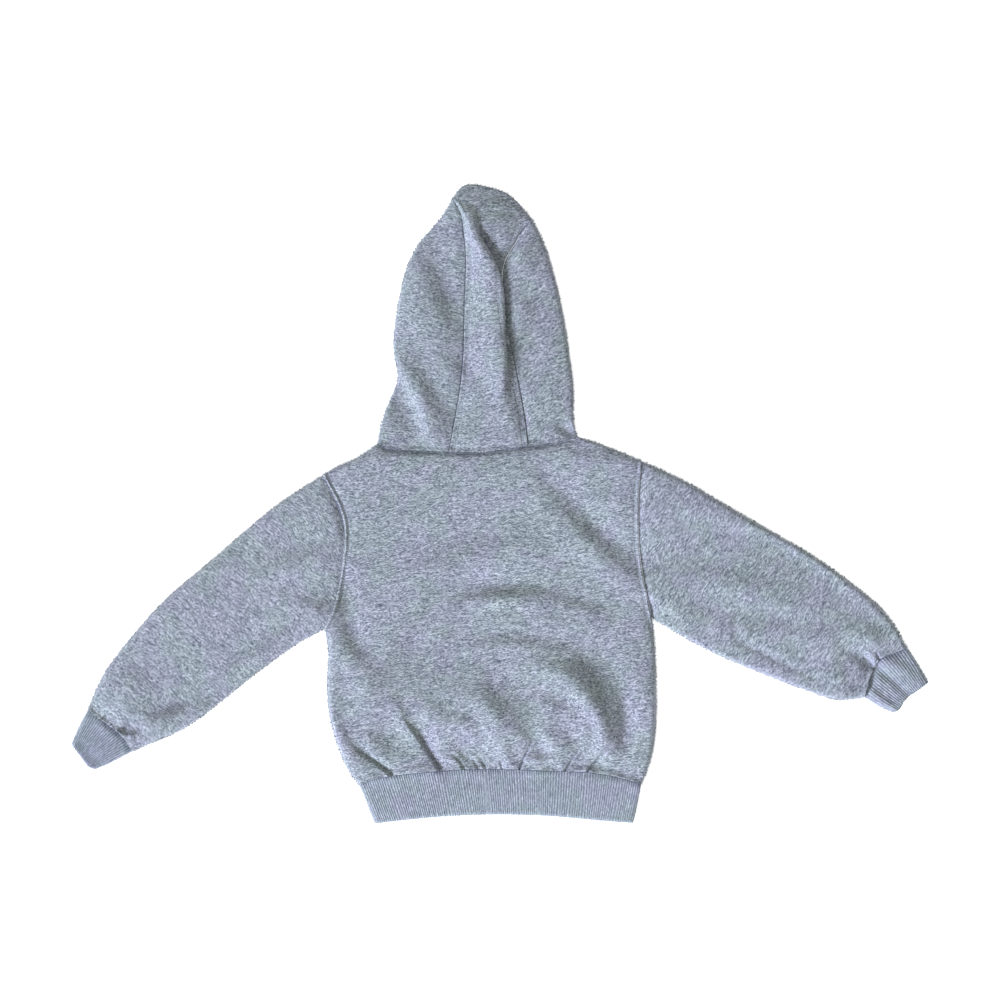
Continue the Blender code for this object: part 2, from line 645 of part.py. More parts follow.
def pleat_turn(amount):
    """x and height along the pleat from its crest, round its lip and down to the hidden bend."""
    lip, bend = math.pi * LIP_RADIUS / LIP_POINTS, math.pi * BEND_RADIUS / 2
    lengths = np.array([lip] * LIP_POINTS + [UNDER_LENGTH / 2] * 2 + [bend] * 2)
    headings = [-math.pi * (k + 0.5) / LIP_POINTS for k in range(LIP_POINTS)]
    headings = amount * np.array(headings + [-math.pi] * 2 + [-0.75 * math.pi, -0.25 * math.pi])
    lengths *= 1 - SLACK * amount * (1 - amount)
    steps = np.column_stack([lengths * np.cos(headings), lengths * np.sin(headings)])
    return np.vstack([[0.0, 0.0], np.cumsum(steps, axis=0)])


def pleat_section(start, end, lip, amount):
    """x and height above the plain panel along a row, from its left to its right seam."""
    turn = pleat_turn(amount)
    drop = -turn[-1, 1]
    crest = max(lip - turn[:, 0].max(), start + CREST_SPACE)
    last = crest + turn[-1, 0]
    section = [(start + part * (crest - start), rise * drop) for part, rise in PLEAT_RISE]
    section += [(crest + x, drop + z) for x, z in turn]
    section += [(last + part * (end - last), 0.0) for part in PLEAT_REST]
    return np.array(section)


def pleat_spread():
    """How far across the panel each point of an unfolded row lies."""
    start, end, lip = TYPICAL_PLEAT
    return (pleat_section(start, end, lip, 0.0)[:, 0] - start) / (end - start)


def fold_pleat(sheet):
    """Fold the pleat into the raised sheet of the hood's centre panel."""
    levels, lips, folded = np.array(sorted(PLEAT)).T
    for row in sheet[1:-1]:
        start, end = row[0].copy(), row[-1].copy()
        y = start[1] + PLEAT_LEVEL * (end[1] - start[1])
        amount = np.interp(y, levels, folded, left=0.0, right=0.0)
        if amount == 0:
            continue
        section = pleat_section(start[0], end[0], np.interp(y, levels, lips), amount)
        x = section[:, 0]
        level = start[1] + (x - start[0]) / (end[0] - start[0]) * (end[1] - start[1])
        plain = top_height(np.column_stack([x, level]))
        row[1:-1] = np.column_stack([x, level, plain + section[:, 1]])[1:-1]


def add_hood(skin):
    """The hood's three panels, which wrap over its edges to the face opening underneath."""
    guides = [smooth(line) for line in (HOOD_LEFT_EDGE, HOOD_LEFT_SEAM, HOOD_RIGHT_SEAM, HOOD_RIGHT_EDGE)]
    length = reach(guides[1])[-1]
    parts = spread(length, HOOD_ROWS, SEAM_ROLL, ROLL_WIDTH) / length
    left_edge, left_seam, right_seam, right_edge = [side_points(guide, parts) for guide in guides]
    neck_left, neck_center, neck_right = neck_rows()
    crown = side_points(smooth(HOOD_CROWN), pleat_spread())
    tip_left = np.repeat(left_seam[-1:], len(neck_left), axis=0)
    tip_right = np.repeat(right_seam[-1:], len(neck_right), axis=0)
    skin.tip("hood_left", raise_sheet(patch(neck_left, tip_left, left_edge, left_seam)), True)
    skin.tip("hood_right", raise_sheet(patch(neck_right, tip_right, right_seam, right_edge)), False)
    left_edge = np.vstack([left_edge[:-ROLL_STEPS], left_edge[-1:]])
    right_edge = np.vstack([right_edge[:-ROLL_STEPS], right_edge[-1:]])
    center = raise_sheet(patch(neck_center, crown, left_seam, right_seam))
    fold_pleat(center)
    skin.sheet("hood_center", center)
    add_floor(skin, "hood_left", [
        ("seam", floor_seam(FRONT_NECK_LEFT, rolled_end=False)),
        ("seam", floor_seam(FACE_LEFT, False, False)),
        ("seam", floor_seam(UNDER_SEAM_LEFT, rolled_start=False)),
        ("edge", left_edge[::-1]),
    ])
    add_floor(skin, "hood_center", [
        ("seam", floor_seam(UNDER_SEAM_LEFT, rolled_start=False)),
        ("edge", crown),
        ("seam", floor_seam(UNDER_SEAM_RIGHT, rolled_start=False)[::-1]),
        ("seam", floor_seam((UNDER_SEAM_RIGHT[0], UNDER_SEAM_LEFT[0]), False, False)),
    ])
    add_floor(skin, "hood_right", [
        ("seam", floor_seam(FRONT_NECK_RIGHT, rolled_start=False)),
        ("edge", right_edge),
        ("seam", floor_seam(UNDER_SEAM_RIGHT, rolled_start=False)[::-1]),
        ("seam", floor_seam(FACE_RIGHT, False, False)[::-1]),
    ])


# ---- Pieces: each its part of the skin, with the thickness of its cloth -----------------------

def face_normal(places):
    """The direction a face looks in."""
    total = Vector()
    for a, b in zip(places, places[1:] + places[:1]):
        total += a.cross(b)
    return total.normalized()


def split(points, corners):
    """The two triangles of a face with four corners, cut along its shorter diagonal."""
    if len(corners) != 4:
        return [corners]
    a, b, c, d = corners
    if (points[a] - points[c]).length < (points[b] - points[d]).length:
        return [[a, b, c], [a, c, d]]
    return [[a, b, d], [b, c, d]]


def rim_of(faces):
    """The directed edges that belong to one face only, with the face that each belongs to."""
    edges = {}
    for number, (corners, _ribs) in enumerate(faces):
        for a, b in zip(corners, corners[1:] + corners[:1]):
            edges[a, b] = number
    return {edge: number for edge, number in edges.items() if (edge[1], edge[0]) not in edges}


def draw_in(skin, faces, rim):
    """How each point on a piece's rim moves to leave its half of the seam's gap."""
    inward = {}
    for (a, b), number in rim.items():
        normal = face_normal([skin.points[c] for c in faces[number][0]])
        across = normal.cross(skin.points[b] - skin.points[a]).normalized()
        inward.setdefault(a, []).append(across)
        inward.setdefault(b, []).append(across)
    moves = {}
    for corner, directions in inward.items():
        first, second = directions[0], directions[-1]
        spread_out = max(1 + first.dot(second), SHARPEST_CORNER)
        moves[corner] = (first + second) / spread_out * (SEAM_GAP / 2)
    return moves


class Wall:
    """The points and faces of one piece's closed wall."""

    def __init__(self, skin, normals, limits, faces, thickness):
        self.rim = rim_of(faces)
        self.normals = normals
        moves = draw_in(skin, faces, self.rim)
        used = sorted({c for corners, _ribs in faces for c in corners})
        self.points = [skin.points[c] + moves.get(c, Vector()) for c in used]
        for place in self.points:
            place.z = max(place.z, 0.0)
        self.outer = {c: k for k, c in enumerate(used)}
        self.inner = {c: k + len(used) for k, c in enumerate(used)}
        self.points += [self.points[self.outer[c]] - normals[c] * min(thickness, limits[c]) for c in used]
        self.crossed = {}
        self.faces = []
        for corners, ribs in faces:
            parts = split(skin.points, corners)
            self.faces += [[self.inner[c] for c in reversed(part)] for part in parts]
            if ribs:
                self.add_ribs(corners, ribs)
            else:
                self.faces += [[self.outer[c] for c in part] for part in parts]
        for a, b in self.rim:
            across = [self.outer[b], *self.between(b, a), self.outer[a]]
            if a < b:
                self.faces += [[*across, self.inner[b]], [self.outer[a], self.inner[a], self.inner[b]]]
            else:
                self.faces += [[*across, self.inner[a]], [self.outer[b], self.inner[a], self.inner[b]]]

    def between(self, a, b):
        """The points that the ribs put on the edge from a to b, if it has any."""
        if (a, b) in self.crossed:
            return self.crossed[a, b]
        return list(reversed(self.crossed.get((b, a), [])))

    def add_ribs(self, corners, ribs):
        """Cover one face with ribs that run on to the next face along the band."""
        a, b, c, d = corners
        for start, end in ((a, b), (d, c)):
            if (start, end) not in self.crossed and (end, start) not in self.crossed:
                self.crossed[start, end] = self.rib_points(start, end, ribs)
        near = [self.outer[a], *self.between(a, b), self.outer[b]]
        far = [self.outer[d], *self.between(d, c), self.outer[c]]
        for k in range(len(near) - 1):
            self.faces.append([near[k], near[k + 1], far[k + 1], far[k]])

    def rib_points(self, start, end, ribs):
        """New points from start to end, every other one raised to the top of a rib."""
        first = len(self.points)
        for k in range(1, 2 * ribs):
            part = k / (2 * ribs)
            place = self.points[self.outer[start]].lerp(self.points[self.outer[end]], part)
            direction = self.normals[start].lerp(self.normals[end], part)
            self.points.append(place + direction * (RIB_HEIGHT if k % 2 else 0.0))
        return list(range(first, len(self.points)))


def cloth(name, colour):
    """A plain cloth material."""
    material = bpy.data.materials.new(name)
    material.use_nodes = True
    shader = material.node_tree.nodes["Principled BSDF"]
    shader.inputs["Base Color"].default_value = (*colour, 1.0)
    shader.inputs["Roughness"].default_value = CLOTH_ROUGHNESS
    shader.inputs["Metallic"].default_value = 0.0
    return material


PIECES = (
    ("body_back", FLEECE_WALL, FLEECE),
    ("body_front", FLEECE_WALL, FLEECE),
    ("sleeve_left", FLEECE_WALL, FLEECE),
    ("sleeve_right", FLEECE_WALL, FLEECE),
    ("cuff_left", RIB_WALL, RIB),
    ("cuff_right", RIB_WALL, RIB),
    ("waistband", RIB_WALL, RIB),
    ("hood_left", FLEECE_WALL, HOOD_FLEECE),
    ("hood_center", FLEECE_WALL, HOOD_FLEECE),
    ("hood_right", FLEECE_WALL, HOOD_FLEECE),
)


def main():
    """Lay out the skin and build every piece from it."""
    for old in list(bpy.data.objects):
        bpy.data.objects.remove(old)
    garment = bpy.data.collections.new("toddler_hoodie")
    bpy.context.scene.collection.children.link(garment)

    skin = Skin()
    add_body(skin)
    for side in SLEEVES:
        add_sleeve(skin, side)
        add_cuff(skin, side)
    add_band(skin, "waistband", hem_row(), HEM, WAIST_MOUTH, (smooth(WAIST_LEFT), smooth(WAIST_RIGHT)))
    add_hood(skin)
    normals = skin.normals()
    limits = skin.thickness(normals)

    for name, thickness, colour in PIECES:
        faces = [(corners, ribs) for piece, corners, ribs in skin.faces if piece == name]
        wall = Wall(skin, normals, limits, faces, thickness)
        mesh = bpy.data.meshes.new(name)
        mesh.from_pydata([point * MM for point in wall.points], [], wall.faces)
        mesh.materials.append(cloth(name + "_cloth", colour))
        mesh.shade_smooth()
        mesh.set_sharp_from_angle(angle=SMOOTH_ANGLE)
        garment.objects.link(bpy.data.objects.new(name, mesh))


main()
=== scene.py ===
"""A toddler's pullover hoodie in heather grey brushed fleece, laid flat on its front with its back up."""

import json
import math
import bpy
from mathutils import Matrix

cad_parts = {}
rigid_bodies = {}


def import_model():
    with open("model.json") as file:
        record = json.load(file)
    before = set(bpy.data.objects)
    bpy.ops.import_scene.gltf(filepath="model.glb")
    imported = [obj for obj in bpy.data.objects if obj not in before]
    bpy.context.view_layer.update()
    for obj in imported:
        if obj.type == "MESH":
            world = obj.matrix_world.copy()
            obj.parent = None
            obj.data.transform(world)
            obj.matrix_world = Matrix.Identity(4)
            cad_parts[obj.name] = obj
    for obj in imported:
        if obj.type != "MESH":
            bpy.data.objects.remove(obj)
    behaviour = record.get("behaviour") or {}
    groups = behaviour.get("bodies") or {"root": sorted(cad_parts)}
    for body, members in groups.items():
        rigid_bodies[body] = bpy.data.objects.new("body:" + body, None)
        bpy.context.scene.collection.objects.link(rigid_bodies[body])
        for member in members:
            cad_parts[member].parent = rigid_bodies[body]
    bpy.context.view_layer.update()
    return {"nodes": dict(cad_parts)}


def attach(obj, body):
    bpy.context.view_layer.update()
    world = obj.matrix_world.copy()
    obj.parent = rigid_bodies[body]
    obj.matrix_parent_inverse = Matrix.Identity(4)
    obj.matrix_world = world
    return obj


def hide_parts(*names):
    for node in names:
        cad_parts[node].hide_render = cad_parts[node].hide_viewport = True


bl_info = {
    "name": "Toddler hoodie",
    "version": (1, 0, 0),
    "blender": (4, 5, 0),
    "location": "3D View > Sidebar > Hoodie",
    "description": "Dresses the laid hoodie's solids with cloth, seams, sewing and rib knit",
    "category": "Add Mesh",
}

import bmesh
import bpy
import numpy as np
from mathutils import Matrix, Vector
from mathutils.bvhtree import BVHTree

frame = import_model()

MM = 0.001
ROOT = "root"

# ---- Seams of the laid garment: x, y in millimetres -------------------------------------------

ARMHOLE_LEFT = ((-177, 29), (-168, 12), (-160, -4), (-155, -26), (-156.5, -55), (-164.5, -100), (-175, -124))
ARMHOLE_RIGHT = ((142, 43), (139, 19), (138, -3), (138.5, -30), (141, -61), (147, -92), (152, -114))
NECK = ((-122, 61), (-110, 55.5), (-88, 53.5), (-51, 52), (-16, 52), (28, 58), (48, 60), (78, 67))
HEM = ((-140, -281), (-129, -275.5), (-112, -272), (-68, -267), (-17, -264.5), (44, -266), (98, -269),
       (129, -275.5), (141, -280))
WAIST_MOUTH = ((-125, -319), (-95, -315.5), (-50, -311.5), (0, -310), (50, -311.5), (95, -315.5),
               (133, -318.5))
CUFF_SEAM_LEFT = ((-411, -204), (-404, -212), (-389, -222), (-377, -232), (-367, -247))
CUFF_SEAM_RIGHT = ((407, -144), (393, -149), (379, -155), (371, -170), (364, -193))
HOOD_LEFT_SEAM = ((-51, 52), (-45, 85), (-39.5, 118), (-36.5, 150), (-35.5, 200), (-34, 248), (-37, 276),
                  (-39, 292), (-48, 305))
HOOD_RIGHT_SEAM = ((28, 58), (25, 85), (20, 112), (13, 148), (6, 180), (2, 215), (4, 243), (14, 257),
                   (23, 276), (33, 284))

# How the cloth lies beside each seam: its line, the pieces that stand high, how high they and the
# others stand beside it, and how wide that is
SEAM_STEPS = (
    (NECK, ("hood_left", "hood_center", "hood_right"), 1.3, -2.2, 3.2),
    (HEM, ("body_back",), 1.5, -1.2, 3.0),
    (ARMHOLE_LEFT, ("body_back",), 0.6, -0.5, 3.0),
    (ARMHOLE_RIGHT, ("body_back",), 0.6, -0.5, 3.0),
    (CUFF_SEAM_LEFT, ("sleeve_left",), 2.6, -2.0, 4.0),
    (CUFF_SEAM_RIGHT, ("sleeve_right",), 2.6, -2.0, 4.0),
    (HOOD_LEFT_SEAM, ("hood_center",), 0.3, -0.4, 3.0),
    (HOOD_RIGHT_SEAM, ("hood_center",), 0.3, -0.4, 3.0),
)

# Creases of the upper layer, each on a smooth line: its name, half its width, how far it stands up as a
# ridge, how far its left side stands above its right, and the points of the line. It dies out at its ends.
CREASES = (
    # the upper back
    ("shoulder diagonal", 10, 0, -3.2, ((45, 19), (80, -16), (112, -48), (136, -69))),
    ("below the diagonal", 10, 0, 1.8, ((60, -30), (100, -66), (130, -88))),
    ("above the diagonal", 9, 0, 1.2, ((74, 12), (100, -10), (128, -30))),
    ("blade shade", 12, 0, -3.2, ((-155, -86), (-100, -61), (-50, -44), (10, -28))),
    ("blade light", 9, 0, 2.6, ((-95, -126), (-70, -91), (-35, -68), (20, -61))),
    ("upper left shade", 12, 0, -1.6, ((-150, -12), (-115, 4), (-80, 16))),
    ("left shoulder edge", 6, 0, -1.6, ((-165, 38), (-130, 48), (-100, 52))),
    ("right shoulder edge", 7, 0, -2.0, ((100, 50), (130, 46), (150, 36))),
    ("under the neck", 6, 0, -1.2, ((40, 54), (80, 53), (115, 50))),
    ("left seam dimple", 6, 0, -1.6, ((-160, -14), (-158, -24), (-156, -34))),
    ("left seam light", 6, 0, 1.4, ((-157, -40), (-154, -58), (-156, -76))),
    # the arcs of the lower back
    ("upper arc", 9, 5.0, 0, ((-76, -132), (-42, -103), (0, -95), (50, -96), (100, -112))),
    ("upper arc, inner edge", 6, 0, -2.2, ((-84, -138), (-60, -112), (-30, -92), (30, -86))),
    ("middle arc", 8, 4.2, 0, ((-32, -145), (20, -141), (72, -147))),
    ("right sweep", 7, -2.4, 0, ((82, -154), (100, -176), (110, -204))),
    ("outer arc, light", 7, 0, 1.6, ((104, -166), (116, -190), (120, -214))),
    ("bright sweep", 10, 0, 2.8, ((0, -151), (40, -164), (75, -190), (95, -236))),
    ("inner shade", 7, 0, -2.6, ((2, -170), (16, -192), (30, -212), (50, -230))),
    ("inner arc", 6, 0, -1.8, ((34, -188), (58, -200), (78, -220))),
    ("centre streak", 7, 0, 2.4, ((-50, -192), (-20, -200), (-4, -222), (4, -250))),
    ("loop hollow", 8, -3.4, 0, ((-52, -206), (-28, -212), (-12, -232), (-6, -252))),
    ("right edge", 12, 0, 1.6, ((134, -150), (136, -190), (130, -236))),
    # the lower left of the back
    ("left side shade", 7, 0, -3.2, ((-158, -92), (-156, -118), (-148, -142), (-132, -158))),
    ("left side light", 10, 0, 1.8, ((-150, -172), (-138, -190), (-124, -204))),
    ("left edge", 5, 0, -1.4, ((-160, -180), (-160, -192), (-158, -205))),
    ("low shade", 10, 0, -2.0, ((-108, -196), (-80, -196), (-48, -198))),
    ("left hollow", 14, 0, -6.0, ((-150, -215), (-125, -235), (-90, -252))),
    ("corner gather", 5, 0, -3.5, ((-158, -224), (-146, -244), (-130, -258), (-112, -268))),
    ("corner ridge", 4, 0, 1.4, ((-140, -234), (-133, -242), (-126, -250))),
    ("deep gather", 5, 0, -4.0, ((-100, -200), (-87, -222), (-76, -240), (-66, -260))),
    # just above the waistband
    ("beside the deep gather", 5, 0, -3.0, ((-60, -250), (-44, -252), (-30, -258))),
    ("fine ridge, left", 3.5, 1.8, 0, ((-52, -240), (-42, -250), (-34, -262))),
    ("fine ridge, right", 3, 1.6, 0, ((-34, -242), (-26, -252), (-20, -262))),
    ("light beside the streak", 6, 0, 1.6, ((8, -232), (16, -240), (22, -248))),
    ("middle gather", 5, 0, -1.6, ((22, -226), (32, -238), (38, -250))),
    ("middle gather foot", 4, 2.0, -2.2, ((20, -250), (38, -254), (56, -253))),
    ("right of the middle gather", 6, 0, 2.0, ((38, -228), (46, -240), (52, -250))),
    ("right shade", 7, 0, -2.0, ((60, -226), (70, -238), (76, -250))),
    ("hem edge, left", 3.5, 2.2, 0, ((-112, -268), (-88, -265), (-66, -262))),
    ("hem edge, middle", 3.5, 1.8, 0, ((-14, -261), (10, -261), (35, -261))),
    ("hem edge, right", 3.5, 2.2, 0, ((60, -262), (84, -265), (110, -267))),
    # the hood
    ("crown crease", 6, 2.6, 0, ((-40, 288), (-20, 297), (10, 298), (28, 288))),
    ("pocket", 5, -3.0, 0, ((-26, 274), (-12, 258), (-2, 240))),
    ("left valley", 11, 0, -4.2, ((-75, 254), (-60, 214), (-46, 176), (-36, 150))),
    ("left panel edge", 12, 0, 2.4, ((-92, 214), (-94, 184), (-92, 150))),
    ("valley foot", 8, 0, -2.6, ((-50, 146), (-42, 136), (-36, 126))),
    ("behind the fold", 6, 0, -1.5, ((-88, 150), (-76, 124), (-62, 98), (-52, 84))),
    ("fold edge", 5, 0, 4.4, ((-98, 126), (-84, 98), (-74, 70))),
    ("under the fold", 8, -3.4, 0, ((-102, 120), (-92, 96), (-84, 70))),
    ("centre hollow", 8, 0, -2.6, ((-27, 214), (-24, 170), (-20, 120))),
    ("centre ridge", 6, 0, 1.4, ((-10, 190), (-8, 140), (-6, 100))),
    ("right of the pleat", 8, 0, -2.8, ((24, 212), (31, 192), (30, 172))),
    ("right of the pleat, low", 9, 0, -2.0, ((22, 150), (24, 130), (26, 110))),
    ("low centre", 6, 0, -1.8, ((14, 104), (18, 84), (20, 68))),
    ("corner dimple", 5, -5.0, 0, ((61, 79), (68, 74), (74, 69))),
    # the left sleeve
    ("left middle shade", 8, 0, -2.4, ((-232, -62), (-205, -50), (-180, -42))),
    ("left middle ridge", 8, 1.8, 0, ((-240, -72), (-210, -66), (-175, -54))),
    ("left armhole shade", 8, 0, -2.6, ((-210, -92), (-180, -98), (-160, -100))),
    ("left roll", 7, 5.0, -4.0, ((-305, -196), (-265, -164), (-225, -136), (-185, -108))),
    ("left wrist shade", 7, 0, -6.0, ((-365, -221), (-335, -208), (-305, -199))),
    ("left wrist dimple", 6, -4.0, 0, ((-366, -222), (-361, -224), (-356, -226))),
    ("left outer shade", 14, 0, -2.0, ((-378, -160), (-350, -178), (-318, -188))),
    # the right sleeve
    ("right top light", 9, 0, 3.4, ((200, -16), (270, -36), (330, -74), (368, -110))),
    ("right middle shade", 13, 0, -4.0, ((150, -62), (200, -66), (250, -76), (300, -98))),
    ("right low shade", 9, 0, -3.4, ((215, -112), (260, -118), (310, -126), (350, -124))),
    ("right roll valley", 4, -2.4, 0, ((234, -114), (240, -136), (262, -148), (290, -162), (316, -174))),
    ("right armpit light", 6, 0, 2.0, ((155, -98), (168, -108), (176, -116))),
    ("right wrist shade", 8, 0, -3.2, ((338, -150), (342, -166), (344, -184))),
    ("right wrist light", 6, 0, 2.6, ((352, -134), (368, -140), (378, -148))),
    ("right wrist edge", 7, 0, 1.2, ((368, -106), (388, -126), (398, -142))),
    ("right cuff crease", 5, -5.0, 0, ((350, -148), (362, -154), (374, -162))),
    ("right cuff crease, down", 5, -2.6, 0, ((368, -162), (371, -172), (372, -184))),
)
CREASE_ENDS = 0.4         # how much of a crease is left at its ends
FOLD_REACH = 4.2          # a fold is felt this many half widths away
CREASES_FROM = 3.9        # only the upper layer is creased: from this height, fully so after the ramp
CREASES_RAMP = 2.2
LOWER_LAYER = 4.0         # the top of the layer below, which no trough reaches
SQUEEZED = 0.15           # how thin the upper layer may be pressed there
LOWEST_CREASE = 4.0
HIGHEST_CREASE = 8.5
PUFFS = (                 # where the cloth stands up as a whole: centre x, y, half length, half width, rise
    (-10, -205, 150, 75, 2.2),
    (-40, 200, 70, 130, 1.2),
)
BAND_FADE = 7.0           # the creases die out on the ribbed bands

# Sharp gathers at the hem and the wrists, and drops beside them, that stay as deep as they are given
GATHERS = (
    ("hem, first", 1.5, ((-141, -246), (-132, -252.5), (-120, -261), (-108, -271)),
     (-0.5, -1.8, -2.3), (-0.3, -1.6, -2)),
    ("hem, second", 1.5, ((-97, -211), (-87, -225), (-77.5, -238.5), (-69, -252), (-61, -264)),
     (-0.3, -1.8, -2.3), (-0.3, -1.8, -1.6)),
    ("hem, third", 1.3, ((-46, -251), (-40, -258), (-35, -266)), (-0.3, -1.5, -2), (-0.3, -1.4, -1.5)),
    ("hem, fourth", 1.1, ((-26, -256), (-22, -265)), (-0.3, -1.2, -1.8), (-0.3, -0.8, -1)),
    ("hem, fifth", 1.1, ((-19, -256), (-14, -265)), (-0.3, -1.2, -1.8), (-0.3, -0.8, -1)),
    ("hem, sixth", 1.2, ((-1, -253), (2.5, -265)), (-0.3, -1, -1.5), (0, -0.5, -0.6)),
    ("hem, seventh", 1.1, ((32, -239), (25, -252), (19.5, -265)), (-1, -3.4, -3.4), (0.3, 0.7, 0.7)),
    ("hem, eighth", 1.0, ((62, -261), (58, -267)), (-0.5, -1.6, -2.2), (0, 0.4, 0.4)),
    ("hem, ninth", 1.1, ((82, -242), (72.5, -254.8), (65, -267)), (-0.6, -2.8, -3.2), (0.2, 0.6, 0.6)),
    ("hem, tenth", 1.4, ((113, -240), (107.5, -244.8), (98.8, -253.5), (87, -268)),
     (-1, -4, -3.6), (0.2, 0.6, 0.6)),
    ("lower right drop", 6, ((112, -186), (121, -206), (123, -224), (119, -239), (108, -249), (96, -259)),
     (0, -1, -1), (-1.2, -3, -2)),
    ("lower right roll", 7, ((86, -190), (98, -210), (103, -230), (97, -248), (87, -262)),
     (0.8, 2, 1.2), (0, 0, 0)),
    ("inner drop", 5, ((62, -198), (80, -210), (89, -226), (88, -240), (78, -252), (68, -262)),
     (0, -0.6, -1), (-1, -2.2, -1.4)),
    ("right armpit notch", 2.2, ((147, -92), (151, -103), (152.5, -113)), (-0.6, -2.2, -3.2), (0, 0, 0)),
    ("left wrist slit", 1.0, ((-396.5, -214), (-390.5, -208)), (-1.5, -2.5, -1.2), (0, 0, 0)),
    ("left wrist pocket", 2.6, ((-378, -226.5), (-369, -216.5), (-360, -213.5)),
     (-1.5, -2.4, -1.2), (0.6, 1.2, 0.8)),
    ("left wrist lip", 1.6, ((-381, -226.5), (-375, -230.5), (-367, -230.5)), (1.2, 1.8, 1.0), (0, 0, 0)),
    ("left wrist lobe", 4.0, ((-367, -234), (-365, -243)), (1.6, 2.0, 1.0), (0, 0, 0)),
    ("right wrist pocket", 1.6, ((364, -153), (369, -158.5), (374, -164)), (-1.0, -2.4, -2.4), (0, 0.6, 0.8)),
    ("right wrist slit", 1.1, ((376, -149), (379.5, -157)), (-1.0, -2.2, -2.0), (0, 0, 0)),
    ("right wrist lobe", 3.4, ((366, -147), (374, -155)), (0.8, 1.6, 1.2), (0, 0, 0)),
)

# Folds of the ribbed cuffs
BAND_CREASES = (
    ("right valley", 4.5, ((370, -160), (388, -173), (406, -188)), (-2.2, -2, -1.4), (0, 0, 0)),
    ("right upper roll", 6.0, ((385, -156), (400, -164), (418, -178)), (1.6, 1.6, 0.8), (0, 0, 0)),
    ("right lower roll", 3.6, ((367, -184), (380, -195), (392, -204)), (1.6, 1.8, 1), (0, 0, 0)),
    ("left roll at the seam", 7.0, ((-404, -209), (-393, -221), (-380, -232)), (2.4, 2.8, 0.8), (0, 0, 0)),
    ("left outer hollow", 6.0, ((-420, -238), (-410, -250), (-398, -258)), (-0.6, -1.2, -0.6), (0, 0, 0)),
)

# Lines of topstitching: name, the seam, which side of it, how far from it, how far the seam allowance
# that lies under the cloth lifts it in between, and the node sewn
TOPSTITCHES = (
    ("left_armhole_stitching", ARMHOLE_LEFT, 1, 3.6, 1.1, "body_back"),
    ("right_armhole_stitching", ARMHOLE_RIGHT, -1, 3.6, 0.4, "body_back"),
    ("left_hood_stitching", HOOD_LEFT_SEAM, -1, 4.6, 0.0, "hood_center"),
    ("right_hood_stitching", HOOD_RIGHT_SEAM, 1, 4.6, 0.0, "hood_center"),
)
STITCH_DIP = 0.6          # the thread pulls the cloth in
STITCH_DIP_WIDTH = 1.2
STITCH_MARGIN = 3.0

MERGE = 2e-5
JOIN_ANGLE = math.radians(40)
JOIN_SHAPE = math.radians(60)
RIM_ANGLE = math.radians(62)
SMOOTH_ANGLE = math.radians(50)
FINER = 2
COARSE_EDGE = 3.2         # longest edge of the draped cloth, and near its seams
FINE_EDGE = 1.3
SHARP_EDGE = 0.9
SEAM_REACH = 6.5
GATHER_REACH = 3.5
BANDS = ("waistband", "cuff_left", "cuff_right")
HALF_RIB = 2.0 * MM        # more than the distance across the solid from the top of a rib to its groove
RIB_RISE = 0.15           # what the finished ribs add to those of the solid
FLOOR_Z = -0.0002

# The nap that stands out round the outline, in millimetres
RIBBED = ("ribbed_waistband", "left_ribbed_cuff", "right_ribbed_cuff")
NAP_SEED = 7
NAP_ON_RIBS = 0.7
NAP_CLEAR = 2.5           # this far out, nothing lies above a fibre
NAP_ACROSS = 0.7          # how far over its face a fibre may stand
NAP_SCATTER = 0.45        # how much the fibres lean
NAP_SHORTEST = 0.45       # of the length of the model
NAP_LONGEST = 1.25
NAP_LOWEST = 0.2          # the fibres stay this far above the floor
FACING = 0.9              # a face whose normal points this much one way is that end of a thread
RIM_SLOPE = 0.5
RIM_LOW = 0.8
RIM_HIGH = 9.0


# ---- Lines in the plane ---------------------------------------------------------------------

def smooth(knots, steps=12):
    """A smooth line through the knots, as an array of x, y."""
    knots = np.array(knots, float)
    ends = np.vstack([2 * knots[0] - knots[1], knots, 2 * knots[-1] - knots[-2]])
    line = []
    for a, b, c, d in zip(ends, ends[1:], ends[2:], ends[3:]):
        for step in range(steps):
            t = step / steps
            bend = (c - a) + t * (2 * a - 5 * b + 4 * c - d)
            line.append(b + t / 2 * (bend + t * t * (3 * (b - c) + d - a)))
    line.append(knots[-1])
    return np.array(line)


def reach(line):
    """The distance along the line to each of its points."""
    return np.concatenate([[0.0], np.cumsum(np.linalg.norm(np.diff(line, axis=0), axis=1))])


def nearest(points, line):
    """Each point's distance to the line, how far along it that is from 0 to 1, and how far left of it."""
    start, step = line[:-1], np.diff(line, axis=0)
    offset = points[:, None, :] - start[None, :, :]
    t = np.clip((offset * step).sum(2) / (step * step).sum(1), 0, 1)
    gaps = np.linalg.norm(offset - t[:, :, None] * step, axis=2)
    best = gaps.argmin(1)
    rows = np.arange(len(points))
    travelled = reach(line)
    away = offset[rows, best]
    left = (step[best, 0] * away[:, 1] - step[best, 1] * away[:, 0]) / np.linalg.norm(step[best], axis=1)
    along = (travelled[best] + t[rows, best] * np.diff(travelled)[best]) / travelled[-1]
    return gaps[rows, best], along, left


def beside(line, distance):
    """The line moved to its left by this distance."""
    along = np.gradient(line, axis=0)
    along /= np.linalg.norm(along, axis=1)[:, None]
    return line + distance * np.stack([-along[:, 1], along[:, 0]], 1)


def near(points, line, width):
    """The points that may lie within this distance of the line."""
    return np.flatnonzero(((points > line.min(0) - width) & (points < line.max(0) + width)).all(1))


# ---- Height that the cloth adds to its solid --------------------------------------------------

